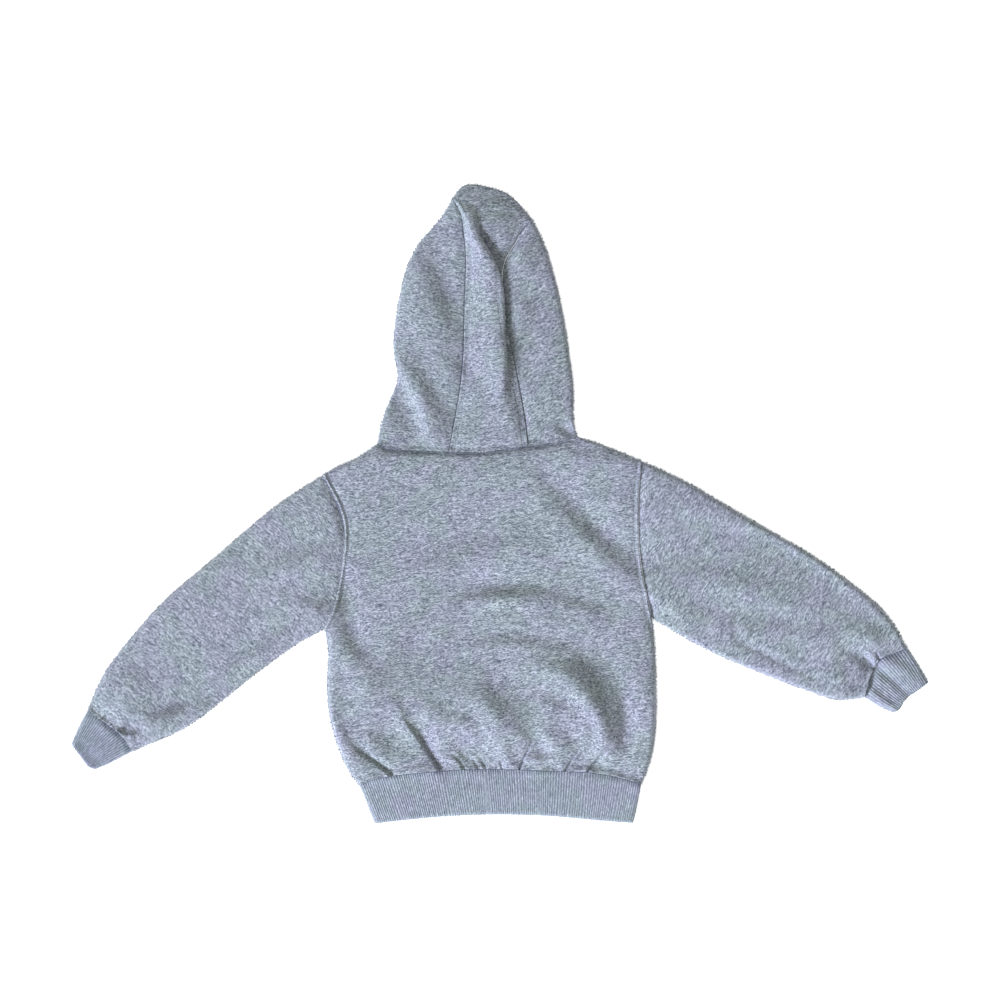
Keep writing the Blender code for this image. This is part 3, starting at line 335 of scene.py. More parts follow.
def fold_height(points, folds):
    """What these folds add to the upper layer at each point, in millimetres."""
    height = np.zeros(len(points))
    for _name, width, knots, rises, steps in folds:
        line = smooth(knots)
        chosen = near(points, line, FOLD_REACH * width)
        if not len(chosen):
            continue
        gap, t, left = nearest(points[chosen], line)
        ridge = np.interp(t, (0, 0.5, 1), rises) * np.exp(-(gap / width) ** 2)
        step = np.interp(t, (0, 0.5, 1), steps) * np.tanh(left / width) * np.exp(-(gap / (3 * width)) ** 2)
        height[chosen] += ridge + step
    return height


def crease_height(points):
    """What the soft creases add to the upper layer at each point, in millimetres."""
    shape = np.array((CREASE_ENDS, 1, CREASE_ENDS))
    height = fold_height(points, [(name, width, line, ridge * shape, step * shape)
                                  for name, width, ridge, step, line in CREASES])
    height = np.where(height < 0, LOWEST_CREASE * np.tanh(height / LOWEST_CREASE),
                      HIGHEST_CREASE * np.tanh(height / HIGHEST_CREASE))
    for x, y, length, width, rise in PUFFS:
        height += rise * np.exp(-((points[:, 0] - x) / length) ** 2 - ((points[:, 1] - y) / width) ** 2)
    return height


def seam_height(points, node):
    """How the cloth of this node stands up or lies low beside its seams and its topstitching."""
    height = np.zeros(len(points))
    for line, high_nodes, high, low, width in SEAM_STEPS:
        line = smooth(line)
        chosen = near(points, line, 4 * width)
        if not len(chosen):
            continue
        gap, _t, _left = nearest(points[chosen], line)
        height[chosen] += (high if node in high_nodes else low) * np.exp(-(gap / width) ** 2)
    for _name, line, side, distance, lift, sewn in TOPSTITCHES:
        if node != sewn:
            continue
        line = smooth(line)
        chosen = near(points, line, 4 * SEAM_REACH)
        _gap, _t, left = nearest(points[chosen], line)
        height[chosen] -= STITCH_DIP * np.exp(-((side * left - distance) / STITCH_DIP_WIDTH) ** 2)
        height[chosen] += lift * np.exp(-((side * left - 0.45 * distance) / (0.4 * distance)) ** 2)
    return height


def band_share(points, node):
    """How much of the creases a ribbed band takes up, from 1 at its seam to 0."""
    seam = {"waistband": HEM, "cuff_left": CUFF_SEAM_LEFT, "cuff_right": CUFF_SEAM_RIGHT}[node]
    gap, _t, _left = nearest(points, smooth(seam))
    return np.exp(-(gap / BAND_FADE) ** 2)


# ---- Making pieces ----------------------------------------------------------------------------

def activate(piece):
    """Select this object alone and make it the active one."""
    bpy.ops.object.select_all(action="DESELECT")
    bpy.context.view_layer.objects.active = piece
    piece.select_set(True)


def is_upper(face):
    """Whether this face is on the upper side of the upper layer."""
    return face.normal.z > 0.15 and face.calc_center_median().z > 3.5 * MM


def mark_ribs(bm):
    """Give each point 1 on top of a rib and 0 in a groove."""
    layer = bm.verts.layers.float.new("rib")
    for vert in bm.verts:
        across = [edge.other_vert(vert).co for edge in vert.link_edges if edge.calc_length() < HALF_RIB]
        if len(across) < 2:
            vert[layer] = 0.5
            continue
        out = (vert.co - sum(across, Vector()) / len(across)).dot(vert.normal)
        vert[layer] = 1.0 if out > 0.1 * MM else 0.0


def split_edges(piece):
    """Split the long edges of the upper side, and more so near the seams and the gathers."""
    lines = [(smooth(row[0]), SEAM_REACH, FINE_EDGE) for row in SEAM_STEPS if row[0] is not NECK]
    lines += [(smooth(row[2]), GATHER_REACH, SHARP_EDGE) for row in GATHERS if row[1] < GATHER_REACH]
    bm = bmesh.new()
    bm.from_mesh(piece.data)
    for _round in range(4):
        upper = {face for face in bm.faces if is_upper(face)}
        edges = [edge for edge in bm.edges if all(face in upper for face in edge.link_faces)]
        if not edges:
            break
        middles = np.array([((edge.verts[0].co + edge.verts[1].co) / 2).xy for edge in edges]) / MM
        lengths = np.array([edge.calc_length() for edge in edges]) / MM
        longest = np.full(len(edges), COARSE_EDGE)
        for line, width, length in lines:
            chosen = near(middles, line, width)
            if len(chosen):
                chosen = chosen[nearest(middles[chosen], line)[0] < width]
                longest[chosen] = np.minimum(longest[chosen], length)
        chosen = np.flatnonzero(lengths > longest * 1.3)
        bmesh.ops.subdivide_edges(bm, edges=[edges[k] for k in chosen], cuts=1, use_grid_fill=True)
    bmesh.ops.triangulate(bm, faces=[face for face in bm.faces if len(face.verts) > 4])
    bm.to_mesh(piece.data)
    bm.free()


def cloth_copy(node, name, levels):
    """A piece of cloth on the form of a CAD node, with finer and smoother faces."""
    piece = bpy.data.objects.new(name, frame["nodes"][node].data.copy())
    bpy.context.scene.collection.objects.link(piece)
    piece.data.materials.clear()
    activate(piece)
    bm = bmesh.new()
    bm.from_mesh(piece.data)
    bmesh.ops.remove_doubles(bm, verts=bm.verts, dist=MERGE)
    bm.normal_update()
    if node in BANDS:
        mark_ribs(bm)
    bmesh.ops.join_triangles(bm, faces=bm.faces, angle_face_threshold=JOIN_ANGLE,
                             angle_shape_threshold=JOIN_SHAPE, cmp_seam=False, cmp_sharp=False,
                             cmp_uvs=False, cmp_vcols=False, cmp_materials=False)
    crease = bm.edges.layers.float.get("crease_edge") or bm.edges.layers.float.new("crease_edge")
    for edge in bm.edges:
        if edge.calc_face_angle(0.0) > RIM_ANGLE:
            edge[crease] = 1.0
    bm.to_mesh(piece.data)
    bm.free()
    finer = piece.modifiers.new("finer", "SUBSURF")
    finer.levels = finer.render_levels = levels
    finer.boundary_smooth = "PRESERVE_CORNERS"
    bpy.ops.object.modifier_apply(modifier=finer.name)
    split_edges(piece)
    return piece


def drape(piece, node, strength):
    """Lift and lower the upper layer of a piece where its creases, seams and ribs lie."""
    mesh = piece.data
    places = np.empty(len(mesh.vertices) * 3, np.float32)
    mesh.vertices.foreach_get("co", places)
    places = places.reshape(-1, 3)
    plan = places[:, :2].astype(float) / MM
    share = np.clip((places[:, 2] / MM - CREASES_FROM) / CREASES_RAMP, 0, 1)
    share = share * share * (3 - 2 * share)
    height = strength * crease_height(plan)
    if node in BANDS:
        rib = np.empty(len(mesh.vertices), np.float32)
        mesh.attributes["rib"].data.foreach_get("value", rib)
        height = height * band_share(plan, node) + fold_height(plan, BAND_CREASES) + RIB_RISE * (2 * rib - 1)
    else:
        height += fold_height(plan, GATHERS)
    height += seam_height(plan, node)
    above = np.maximum(places[:, 2] - LOWER_LAYER * MM, 0)
    lowest = places[:, 2] - (1 - SQUEEZED) * above
    places[:, 2] = np.maximum(places[:, 2] + height * share * MM, lowest)
    mesh.vertices.foreach_set("co", places.ravel())
    mesh.update()
    mesh.shade_smooth()
    mesh.set_sharp_from_angle(angle=SMOOTH_ANGLE)


def dress(node, name, material):
    """Make the piece of cloth that stands for a CAD node."""
    piece = cloth_copy(node, name, FINER)
    drape(piece, node, bpy.context.scene.hoodie_sizes.crease_strength)
    piece.data.materials.append(material)
    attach(piece, ROOT)
    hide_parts(node)
    return piece


def thread_model(sides, thickness, length, place, turn, tips):
    """The mesh of a round thread, drawn out at each tip: which way it faces, how far, and how thin it gets."""
    bpy.ops.object.select_all(action="DESELECT")
    bpy.ops.mesh.primitive_cylinder_add(vertices=sides, radius=thickness / 2, depth=length,
                                        end_fill_type="NGON", rotation=turn, location=place)
    model = bpy.context.object
    bpy.ops.object.transform_apply(location=True, rotation=True, scale=True)
    bpy.ops.object.mode_set(mode="EDIT")
    for way, move, size in tips:
        bpy.ops.mesh.select_all(action="DESELECT")
        bm = bmesh.from_edit_mesh(model.data)
        for face in bm.faces:
            face.select_set(face.normal.dot(way) > FACING)
        bmesh.update_edit_mesh(model.data)
        bpy.ops.mesh.extrude_region_move(TRANSFORM_OT_translate={"value": move})
        bpy.ops.transform.resize(value=size)
    bpy.ops.object.mode_set(mode="OBJECT")
    mesh = model.data
    bpy.data.objects.remove(model)
    return mesh


def stitch_model(length, thickness):
    """The mesh of one stitch: a short length of thread that dives into the cloth at both ends."""
    tips = [(Vector((side, 0, 0)), (side * 0.3 * length, 0, -0.9 * thickness), (1, 0.5, 0.5))
            for side in (-1, 1)]
    return thread_model(6, thickness, 0.4 * length, (0, 0, 0.3 * thickness), (0, math.pi / 2, 0), tips)


def sew(cloth, name, seam, side, distance, material):
    """Lay a line of stitches on the piece of cloth beside a seam, as one piece."""
    sizes = bpy.context.scene.hoodie_sizes
    tree = BVHTree.FromPolygons([vert.co.copy() for vert in cloth.data.vertices],
                                [tuple(face.vertices) for face in cloth.data.polygons])
    model = stitch_model(sizes.stitch_length * 0.78, sizes.thread)
    bm = bmesh.new()
    line = beside(smooth(seam), side * distance) * MM
    travelled = reach(line)
    for at in np.arange(STITCH_MARGIN * MM, travelled[-1] - STITCH_MARGIN * MM, sizes.stitch_length):
        ends = []
        for place in (at - sizes.stitch_length * 0.3, at + sizes.stitch_length * 0.3):
            x, y = (np.interp(place, travelled, line[:, axis]) for axis in (0, 1))
            hit = tree.ray_cast(Vector((x, y, 0.05)), Vector((0, 0, -1)))
            if hit[0] is None:
                break
            ends.append(hit)
        if len(ends) < 2:
            continue
        along = (ends[1][0] - ends[0][0]).normalized()
        up = (ends[0][1] + ends[1][1]).normalized()
        across = up.cross(along).normalized()
        turn = Matrix((along, across, along.cross(across))).transposed().to_4x4()
        turn.translation = (ends[0][0] + ends[1][0]) / 2
        first = len(bm.verts)
        bm.from_mesh(model)
        bm.verts.ensure_lookup_table()
        bmesh.ops.transform(bm, matrix=turn, verts=bm.verts[first:])
    mesh = bpy.data.meshes.new(name)
    bm.to_mesh(mesh)
    bm.free()
    mesh.shade_smooth()
    mesh.materials.append(material)
    piece = bpy.data.objects.new(name, mesh)
    bpy.context.scene.collection.objects.link(piece)
    piece.parent = cloth
    return piece


def fibre_model(length, thickness):
    """The mesh of one loose fibre: it stands up from the cloth, bends over and ends in a point."""
    tips = [(Vector((0, 0, 1)), (0.2 * length, 0, 0.45 * length), (0.3, 0.3, 0.3))]
    return thread_model(3, thickness, 0.55 * length, (0, 0, 0.25 * length), (0, 0, 0), tips)


def raise_nap(clothes, material):
    """Let loose fibres stand out round the outline of each piece of cloth, as one piece on each."""
    sizes = bpy.context.scene.hoodie_sizes
    model = fibre_model(sizes.fibre_length, sizes.fibre)
    corners = np.array([vert.co for vert in model.vertices])
    faces = [tuple(face.vertices) for face in model.polygons]
    places, sides = [], []
    for cloth in clothes:
        first = len(places)
        places += [vert.co.copy() for vert in cloth.data.vertices]
        sides += [[first + k for k in face.vertices] for face in cloth.data.polygons]
    everything = BVHTree.FromPolygons(places, sides)
    chance = np.random.default_rng(NAP_SEED)
    for cloth in clothes:
        rims = [face for face in cloth.data.polygons
                if abs(face.normal.z) < RIM_SLOPE and RIM_LOW * MM < face.center.z < RIM_HIGH * MM]
        share = NAP_ON_RIBS if cloth.name in RIBBED else 1.0
        chosen = []
        counts = chance.poisson([share * face.area * sizes.fibres_per_area for face in rims])
        for face, number in zip(rims, counts):
            out = Vector((face.normal.x, face.normal.y, 0)).normalized()
            outside = face.center + out * NAP_CLEAR * MM
            if number and everything.ray_cast(outside, Vector((0, 0, 1)))[0] is None:
                chosen += [(face, out)] * int(number)
        grown = []
        for face, out in chosen:
            near_end, far_end, side = (cloth.data.vertices[face.vertices[k]].co for k in (0, 1, -1))
            at = near_end.lerp(far_end, chance.random())
            at = at.lerp(side, NAP_ACROSS * chance.random())
            up = out + Vector(chance.normal(0, NAP_SCATTER, 3).tolist())
            up.z = abs(up.z)
            up.normalize()
            twist = Matrix.Rotation(chance.random() * 2 * math.pi, 3, "Z")
            turn = up.to_track_quat("Z", "Y").to_matrix() @ twist
            size = share * chance.uniform(NAP_SHORTEST, NAP_LONGEST)
            grown.append(corners @ np.array(turn).T * size + np.array(at))
            grown[-1][:, 2] = np.maximum(grown[-1][:, 2], NAP_LOWEST * MM)
        mesh = bpy.data.meshes.new(cloth.name + "_nap")
        mesh.from_pydata(np.concatenate(grown).tolist(), [],
                         [[k * len(corners) + v for v in face] for k in range(len(grown)) for face in faces])
        mesh.materials.append(material)
        piece = bpy.data.objects.new(mesh.name, mesh)
        bpy.context.scene.collection.objects.link(piece)
        piece.parent = cloth


# ---- Materials --------------------------------------------------------------------------------

def linear(colour):
    """Linear red, green and blue of an sRGB hex colour."""
    values = [int(colour[k:k + 2], 16) / 255 for k in (1, 3, 5)]
    return tuple(v / 12.92 if v <= 0.04045 else ((v + 0.055) / 1.055) ** 2.4 for v in values)


def add_node(tree, kind, values=None, links=None, **settings):
    """Add a node with its settings, its sockets' values and its links."""
    node = tree.nodes.new(kind)
    for name, value in settings.items():
        setattr(node, name, value)
    for socket, value in (values or {}).items():
        node.inputs[socket].default_value = value
    for socket, source in (links or {}).items():
        tree.links.new(source, node.inputs[socket])
    return node


def per_mm(*sizes):
    """Scales of a pattern whose repeats have these sizes in millimetres."""
    return tuple(1 / (size * MM) for size in sizes)


def heather(tree, place, course_angle, strand, fleck):
    """Short pale and dark fibres that lie along the courses, from 0 to 1."""
    turned = add_node(tree, "ShaderNodeMapping", {"Rotation": (0, 0, -course_angle)},
                      {"Vector": place}).outputs[0]
    wander = add_node(tree, "ShaderNodeTexNoise", {"Scale": per_mm(26)[0], "Detail": 2.0}, {"Vector": place})
    wander = add_node(tree, "ShaderNodeVectorMath", {1: (0.5, 0.5, 0.5)}, {0: wander.outputs["Color"]},
                      operation="SUBTRACT").outputs[0]
    wander = add_node(tree, "ShaderNodeVectorMath", {"Scale": 9 * MM}, {0: wander},
                      operation="SCALE").outputs[0]
    turned = add_node(tree, "ShaderNodeVectorMath", None, {0: turned, 1: wander}, operation="ADD").outputs[0]
    # fibres about 0.1 mm thick lie in strands 1 to 2 mm wide; drawn as coarse as they need to show
    strands = add_node(tree, "ShaderNodeMapping", {"Scale": per_mm(*strand)}, {"Vector": turned}).outputs[0]
    strands = add_node(tree, "ShaderNodeTexNoise", {"Scale": 1.0, "Detail": 3.0, "Roughness": 0.6},
                       {"Vector": strands}).outputs["Fac"]
    flecks = add_node(tree, "ShaderNodeMapping", {"Scale": per_mm(*fleck)}, {"Vector": turned}).outputs[0]
    flecks = add_node(tree, "ShaderNodeTexNoise", {"Scale": 1.0, "Detail": 1.0, "Roughness": 0.6},
                      {"Vector": flecks}).outputs["Fac"]
    return add_node(tree, "ShaderNodeMix", {"Factor": 0.6}, {"A": strands, "B": flecks}).outputs[0]


def dyed(tree, fibres, place, colours, shade, spread=0.135):
    """The colour of the heather yarn, in soft patches that differ a little as its dye lots do, scaled by
    shade: painted light where it is above 1, painted shade where it is below 1.
    """
    ramp = add_node(tree, "ShaderNodeValToRGB", None, {"Fac": fibres})
    ramp.color_ramp.elements[0].position = 0.5 - spread
    ramp.color_ramp.elements[0].color = (*linear(colours.dark), 1)
    ramp.color_ramp.elements[1].position = 0.5 + spread
    ramp.color_ramp.elements[1].color = (*linear(colours.bright), 1)
    ramp.color_ramp.elements.new(0.5).color = (*linear(colours.middle), 1)
    patches = add_node(tree, "ShaderNodeTexNoise", {"Scale": per_mm(30)[0], "Detail": 2.0}, {"Vector": place})
    tint = add_node(tree, "ShaderNodeValToRGB", None, {"Fac": patches.outputs["Fac"]})
    tint.color_ramp.elements[0].position = 0.36
    # the tint is scaled by shade: painted light above 1, painted shade below 1
    tint.color_ramp.elements[0].color = tuple(value * shade for value in linear(colours.warm_patch)) + (1,)
    tint.color_ramp.elements[1].position = 0.64
    tint.color_ramp.elements[1].color = tuple(value * shade for value in linear(colours.cool_patch)) + (1,)
    return add_node(tree, "ShaderNodeMix", {0: 1.0}, {6: ramp.outputs["Color"], 7: tint.outputs["Color"]},
                    data_type="RGBA", blend_type="MULTIPLY").outputs[2]


def soft_cloth(material, nap_height, strength):
    """Set what all the cloth shares: dry fibres, a pale nap, and a bump from this height."""
    tree = material.node_tree
    shader = tree.nodes["Principled BSDF"]
    nap = add_node(tree, "ShaderNodeBump", {"Strength": strength, "Distance": 0.6 * MM},
                   {"Height": nap_height})
    tree.links.new(nap.outputs[0], shader.inputs["Normal"])
    shader.inputs["Roughness"].default_value = 0.95
    shader.inputs["Specular IOR Level"].default_value = 0.15
    shader.inputs["Sheen Weight"].default_value = 0.3
    shader.inputs["Sheen Roughness"].default_value = 0.5
    shader.inputs["Sheen Tint"].default_value = (*linear("#EEF1F6"), 1)


def fleece(name, course_angle, shade=1.0):
    """Cotton-polyester fleece, knitted from heather yarn and brushed: short pale and dark fibres lie
    along the courses, over a soft nap that scatters light at its edges."""
    # shade scales this copy of the fleece as a whole: painted light above 1, painted shade below 1
    material = bpy.data.materials.new(name)
    material.use_nodes = True
    tree = material.node_tree
    place = add_node(tree, "ShaderNodeTexCoord").outputs["Object"]
    fibres = heather(tree, place, course_angle, (9.0, 1.9, 1.9), (2.7, 0.8, 0.8))
    colour = dyed(tree, fibres, place, bpy.context.scene.hoodie_colours, shade)
    tree.links.new(colour, tree.nodes["Principled BSDF"].inputs["Base Color"])
    soft_cloth(material, fibres, 0.5)
    return material


def rib_knit(name, course_angle, groove_shade_colour, shade=1.0):
    """One-by-one rib knitted from the same heather yarn: round pale wales, and deep grooves between them,
    which are darkened with painted shade.
    """
    material = bpy.data.materials.new(name)
    material.use_nodes = True
    tree = material.node_tree
    place = add_node(tree, "ShaderNodeTexCoord").outputs["Object"]
    fibres = heather(tree, place, course_angle, (7.0, 2.4, 2.4), (3.0, 1.2, 1.2))
    # shade scales this copy of the yarn as a whole: painted light above 1, painted shade below 1
    colour = dyed(tree, fibres, place, bpy.context.scene.hoodie_colours, shade, 0.34)
    rib = add_node(tree, "ShaderNodeAttribute", attribute_name="rib").outputs["Fac"]
    # painted shade: the grooves between the ribs are tinted darker, the tops of the ribs keep the yarn's
    # colour
    groove = add_node(tree, "ShaderNodeValToRGB", None, {"Fac": rib})
    groove.color_ramp.elements[0].position = 0.1
    groove.color_ramp.elements[0].color = (*linear(groove_shade_colour), 1)
    groove.color_ramp.elements[1].position = 0.6
    groove.color_ramp.elements[1].color = (1, 1, 1, 1)
    colour = add_node(tree, "ShaderNodeMix", {0: 1.0}, {6: colour, 7: groove.outputs["Color"]},
                      data_type="RGBA", blend_type="MULTIPLY").outputs[2]
    tree.links.new(colour, tree.nodes["Principled BSDF"].inputs["Base Color"])
    soft_cloth(material, fibres, 0.35)
    return material


def sewing_thread(name):
    """Spun polyester sewing thread, dyed to match: two plies twisted round each other, a little glossy."""
    material = bpy.data.materials.new(name)
    material.use_nodes = True
    tree = material.node_tree
    shader = tree.nodes["Principled BSDF"]
    place = add_node(tree, "ShaderNodeTexCoord").outputs["Object"]
    plies = add_node(tree, "ShaderNodeTexNoise", {"Scale": per_mm(0.6)[0], "Detail": 1.0}, {"Vector": place})
    ramp = add_node(tree, "ShaderNodeValToRGB", None, {"Fac": plies.outputs["Fac"]})
    colours = bpy.context.scene.hoodie_colours
    ramp.color_ramp.elements[0].position = 0.3
    ramp.color_ramp.elements[0].color = (*linear(colours.thread_shade), 1)
    ramp.color_ramp.elements[1].position = 0.7
    ramp.color_ramp.elements[1].color = (*linear(colours.thread), 1)
    tree.links.new(ramp.outputs["Color"], shader.inputs["Base Color"])
    twist = add_node(tree, "ShaderNodeBump", {"Strength": 0.4, "Distance": 0.1 * MM},
                     {"Height": plies.outputs["Fac"]})
    tree.links.new(twist.outputs[0], shader.inputs["Normal"])
    shader.inputs["Roughness"].default_value = 0.6
    shader.inputs["Specular IOR Level"].default_value = 0.35
    return material


def loose_fibres(name):
    """Loose cotton and polyester fibres of the brushed nap: pale, dry, and let some light through."""
    material = bpy.data.materials.new(name)
    material.use_nodes = True
    tree = material.node_tree
    shader = tree.nodes["Principled BSDF"]
    colours = bpy.context.scene.hoodie_colours
    place = add_node(tree, "ShaderNodeTexCoord").outputs["Object"]
    tufts = add_node(tree, "ShaderNodeTexNoise", {"Scale": per_mm(2.5)[0], "Detail": 1.0}, {"Vector": place})
    ramp = add_node(tree, "ShaderNodeValToRGB", None, {"Fac": tufts.outputs["Fac"]})
    ramp.color_ramp.elements[0].position = 0.35
    ramp.color_ramp.elements[0].color = (*linear(colours.dark), 1)
    ramp.color_ramp.elements[1].position = 0.65
    ramp.color_ramp.elements[1].color = (*linear(colours.middle), 1)
    tree.links.new(ramp.outputs["Color"], shader.inputs["Base Color"])
    shader.inputs["Roughness"].default_value = 0.9
    shader.inputs["Specular IOR Level"].default_value = 0.2
    shader.inputs["Sheen Weight"].default_value = 0.4
    shader.inputs["Sheen Roughness"].default_value = 0.4
    return material


# ---- Properties -------------------------------------------------------------------------------

def hex_colour(name, description, default):
    """A property for a colour, as an sRGB hex value."""
    return bpy.props.StringProperty(name=name, description=description, default=default)


class HoodieColours(bpy.types.PropertyGroup):
    """Colours of the hoodie's cloth and thread."""

    dark: hex_colour("Dark fibres", "sRGB hex colour of the dark fibres", "#606974")
    middle: hex_colour("Ground", "sRGB hex colour between the fibres", "#9CA3AE")
    bright: hex_colour("Pale fibres", "sRGB hex colour of the pale fibres", "#D9E0EA")
    warm_patch: hex_colour("Warm patches", "sRGB hex colour that tints the redder patches", "#F6F1FB")
    cool_patch: hex_colour("Cool patches", "sRGB hex colour that tints the greener patches", "#EFF4F1")
    # painted shade between the ribs: pale for the waistband and the right cuff, deep for the left cuff
    waistband_groove_shade: hex_colour("Waistband grooves", "sRGB hex colour that tints between its ribs",
                                 "#E4E7EB")
    left_cuff_groove_shade: hex_colour("Left cuff grooves", "sRGB hex colour that tints between its ribs", "#B2B8C2")
    thread: hex_colour("Thread", "sRGB hex colour of the sewing thread", "#C9D0DC")
    thread_shade: hex_colour("Thread shade", "sRGB hex colour between the thread's plies", "#8E97A6")


class HoodieSizes(bpy.types.PropertyGroup):
    """Sizes of the hoodie's creases and sewing."""

    crease_strength: bpy.props.FloatProperty(name="Creases", description="How far the creases stand up",
                                             default=1.0, min=0.0, max=1.5, subtype="FACTOR")
    stitch_length: bpy.props.FloatProperty(name="Stitch length", description="From one stitch to the next",
                                           default=2.8 * MM, unit="LENGTH")
    thread: bpy.props.FloatProperty(name="Thread", description="How thick the sewing thread is",
                                    default=0.7 * MM, unit="LENGTH")
    fibre_length: bpy.props.FloatProperty(name="Fibre length",
                                           description="How far the loose fibres stand out",
                                          default=3.0 * MM, unit="LENGTH")
    fibre: bpy.props.FloatProperty(name="Fibre", description="How thick a tuft of loose fibres is",
                                   default=0.3 * MM, unit="LENGTH")
    fibres_per_area: bpy.props.FloatProperty(name="Fibres", description="Loose fibres on each square metre",
                                             default=9.0e5, min=0.0)


# ---- Operators --------------------------------------------------------------------------------

class HOODIE_OT_body(bpy.types.Operator):
    """Make the back and front panels."""

    bl_idname = "hoodie.body"
    bl_label = "Body"

    def execute(self, context):
        cloth = fleece("brushed_fleece_body", math.radians(6))
        dress("body_front", "front_panel", cloth)
        dress("body_back", "back_panel", cloth)
        return {"FINISHED"}


class HOODIE_OT_sleeves(bpy.types.Operator):
    """Make the two sleeves."""

    bl_idname = "hoodie.sleeves"
    bl_label = "Sleeves"

    def execute(self, context):
        # painted light and shade: the left sleeve's copy of the fleece is painted a little lighter, the right
        # one's a little darker
        for side, angle, shade in (("left", math.radians(-40), 1.03), ("right", math.radians(54), 0.97)):
            cloth = fleece("brushed_fleece_sleeve_" + side, angle, shade)
            dress("sleeve_" + side, side + "_sleeve", cloth)
        return {"FINISHED"}


class HOODIE_OT_ribbing(bpy.types.Operator):
    """Make the waistband and the two cuffs."""

    bl_idname = "hoodie.ribbing"
    bl_label = "Ribbing"

    def execute(self, context):
        colours = context.scene.hoodie_colours
        # painted light: the ribbed bands are painted lighter than the fleece, which also makes up for their
        # painted groove shade
        cloth = rib_knit("rib_knit_waistband", math.pi / 2, colours.waistband_groove_shade, 1.2)
        dress("waistband", "ribbed_waistband", cloth)
        # painted shade: the left cuff gets the deep groove shade, the right cuff the waistband's pale one
        for side, angle, groove, shade, area in (("left", 45, colours.left_cuff_groove_shade, 1.2, 0.0040),
                                                 ("right", -35, colours.waistband_groove_shade, 1.12, 0.0045)):
            cloth = rib_knit("rib_knit_cuff_" + side, math.radians(angle), groove, shade)
            dress("cuff_" + side, side + "_ribbed_cuff", cloth)
        return {"FINISHED"}


class HOODIE_OT_hood(bpy.types.Operator):
    """Make the hood's three panels."""

    bl_idname = "hoodie.hood"
    bl_label = "Hood"

    def execute(self, context):
        # painted shade: the hood's panels are painted darker than the body
        for side, angle, flat, area in (("left", -9, (0.19, 0.3), 0.038), ("center", 8, (0.11, 0.33), 0.024),
                                        ("right", 30, (0.19, 0.3), 0.03)):
            cloth = fleece("brushed_fleece_hood_" + side, math.radians(angle), 0.93)
            dress("hood_" + side, side + "_hood_panel", cloth)
        return {"FINISHED"}


class HOODIE_OT_sewing(bpy.types.Operator):
    """Sew the topstitching beside the armholes and the hood's seams."""

    bl_idname = "hoodie.sewing"
    bl_label = "Sewing"

    def execute(self, context):
        thread = sewing_thread("spun_polyester_thread")
        sewn = {"body_back": "back_panel", "hood_center": "center_hood_panel"}
        for name, seam, side, distance, _lift, node in TOPSTITCHES:
            sew(bpy.data.objects[sewn[node]], name, seam, side, distance, thread)
        return {"FINISHED"}


class HOODIE_OT_nap(bpy.types.Operator):
    """Raise the nap round the outline of the cloth."""

    bl_idname = "hoodie.nap"
    bl_label = "Nap"

    def execute(self, context):
        names = ("front_panel", "back_panel", "left_sleeve", "right_sleeve", "left_hood_panel",
                 "center_hood_panel", "right_hood_panel", *RIBBED)
        raise_nap([bpy.data.objects[name] for name in names], loose_fibres("loose_cotton_fibres"))
        return {"FINISHED"}


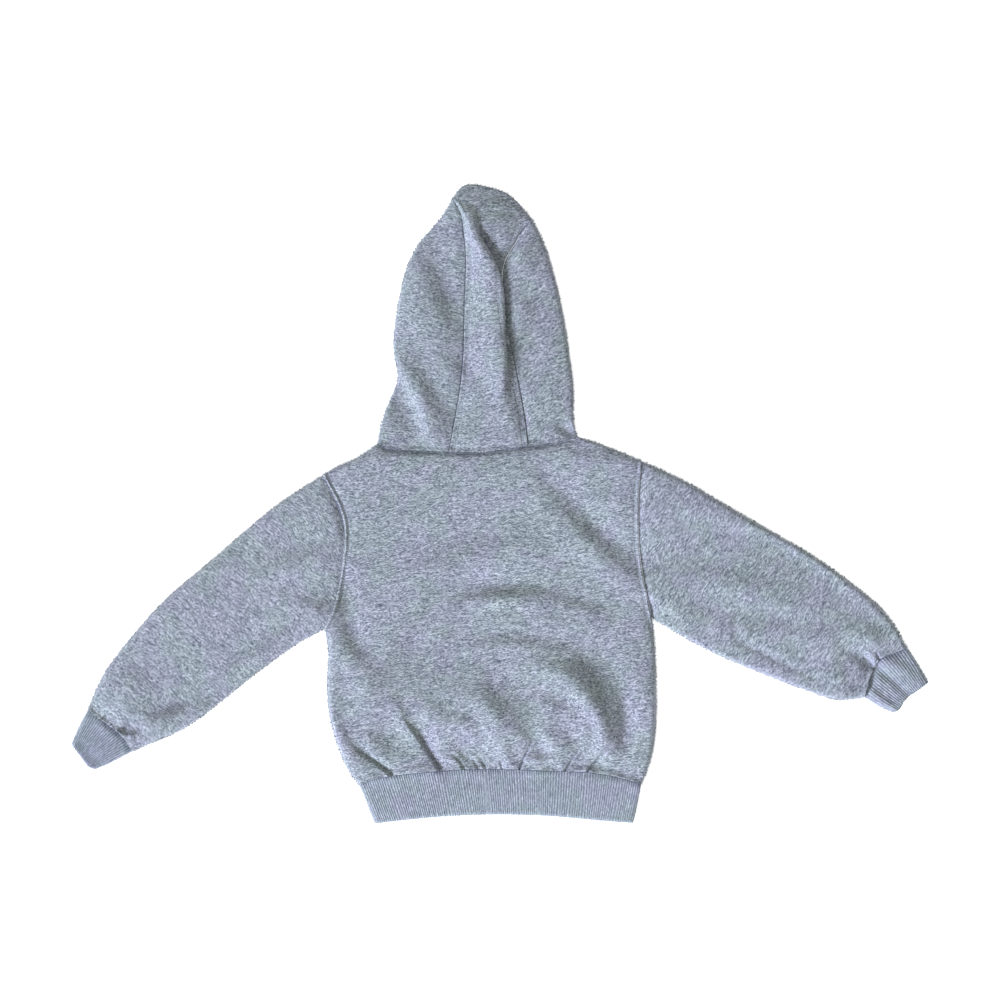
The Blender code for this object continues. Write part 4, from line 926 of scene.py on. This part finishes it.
class HOODIE_OT_stage(bpy.types.Operator):
    """Make the floor, the light and the camera."""

    bl_idname = "hoodie.stage"
    bl_label = "Stage"

    def execute(self, context):
        bpy.ops.object.select_all(action="DESELECT")
        bpy.ops.mesh.primitive_plane_add(size=12.0, location=(0, 0, FLOOR_Z))
        floor = context.object
        floor.name = "floor"
        paper = bpy.data.materials.new("white_paper")
        paper.use_nodes = True
        shader = paper.node_tree.nodes["Principled BSDF"]
        shader.inputs["Base Color"].default_value = (*linear("#F4F4F4"), 1)
        shader.inputs["Roughness"].default_value = 0.9
        shader.inputs["Specular IOR Level"].default_value = 0.1
        shader.inputs["Emission Color"].default_value = (1, 1, 1, 1)
        shader.inputs["Emission Strength"].default_value = 0.72
        floor.data.materials.append(paper)

        world = bpy.data.worlds.new("soft_room")
        context.scene.world = world
        world.use_nodes = True
        world.node_tree.nodes["Background"].inputs["Color"].default_value = (*linear("#FBFDF2"), 1)
        world.node_tree.nodes["Background"].inputs["Strength"].default_value = 0.45

        lamp = bpy.data.lights.new("soft_window", "SUN")
        lamp.energy = 5.0
        lamp.angle = math.radians(22)
        lamp.color = linear("#ECF1FF")
        window = bpy.data.objects.new("soft_window", lamp)
        window.rotation_mode = "QUATERNION"
        window.rotation_quaternion = Vector((-0.668, -0.601, 0.438)).to_track_quat("Z", "Y")
        context.scene.collection.objects.link(window)

        lens = bpy.data.cameras.new("camera")
        lens.sensor_width = 36.0
        distance = 4.0
        lens.lens = 36.0 * distance / 1.0
        lens.clip_end = 20
        camera = bpy.data.objects.new("camera", lens)
        camera.location = (0, 0.004, distance)
        context.scene.collection.objects.link(camera)
        context.scene.camera = camera
        context.scene.view_settings.view_transform = "Standard"
        return {"FINISHED"}


class HOODIE_PT_panel(bpy.types.Panel):
    """The hoodie's pieces and colours."""

    bl_label = "Toddler hoodie"
    bl_space_type = "VIEW_3D"
    bl_region_type = "UI"
    bl_category = "Hoodie"

    def draw(self, context):
        for operator in OPERATORS:
            self.layout.operator(operator.bl_idname)
        for group in (context.scene.hoodie_sizes, context.scene.hoodie_colours):
            for name in group.__annotations__:
                self.layout.prop(group, name)


OPERATORS = (HOODIE_OT_body, HOODIE_OT_sleeves, HOODIE_OT_ribbing, HOODIE_OT_hood, HOODIE_OT_sewing,
             HOODIE_OT_nap, HOODIE_OT_stage)
CLASSES = (HoodieSizes, HoodieColours, *OPERATORS, HOODIE_PT_panel)


def register():
    """Register the classes and give the scene the hoodie's properties."""
    for cls in CLASSES:
        bpy.utils.register_class(cls)
    bpy.types.Scene.hoodie_sizes = bpy.props.PointerProperty(type=HoodieSizes)
    bpy.types.Scene.hoodie_colours = bpy.props.PointerProperty(type=HoodieColours)


def unregister():
    """Take the properties and the classes away again."""
    del bpy.types.Scene.hoodie_colours
    del bpy.types.Scene.hoodie_sizes
    for cls in reversed(CLASSES):
        bpy.utils.unregister_class(cls)


def main():
    """Make every piece."""
    register()
    bpy.ops.object.select_all(action="DESELECT")
    bpy.ops.hoodie.body()
    bpy.ops.hoodie.sleeves()
    bpy.ops.hoodie.ribbing()
    bpy.ops.hoodie.hood()
    bpy.ops.hoodie.sewing()
    bpy.ops.hoodie.nap()
    bpy.ops.hoodie.stage()


if __name__ == "__main__":
    main()
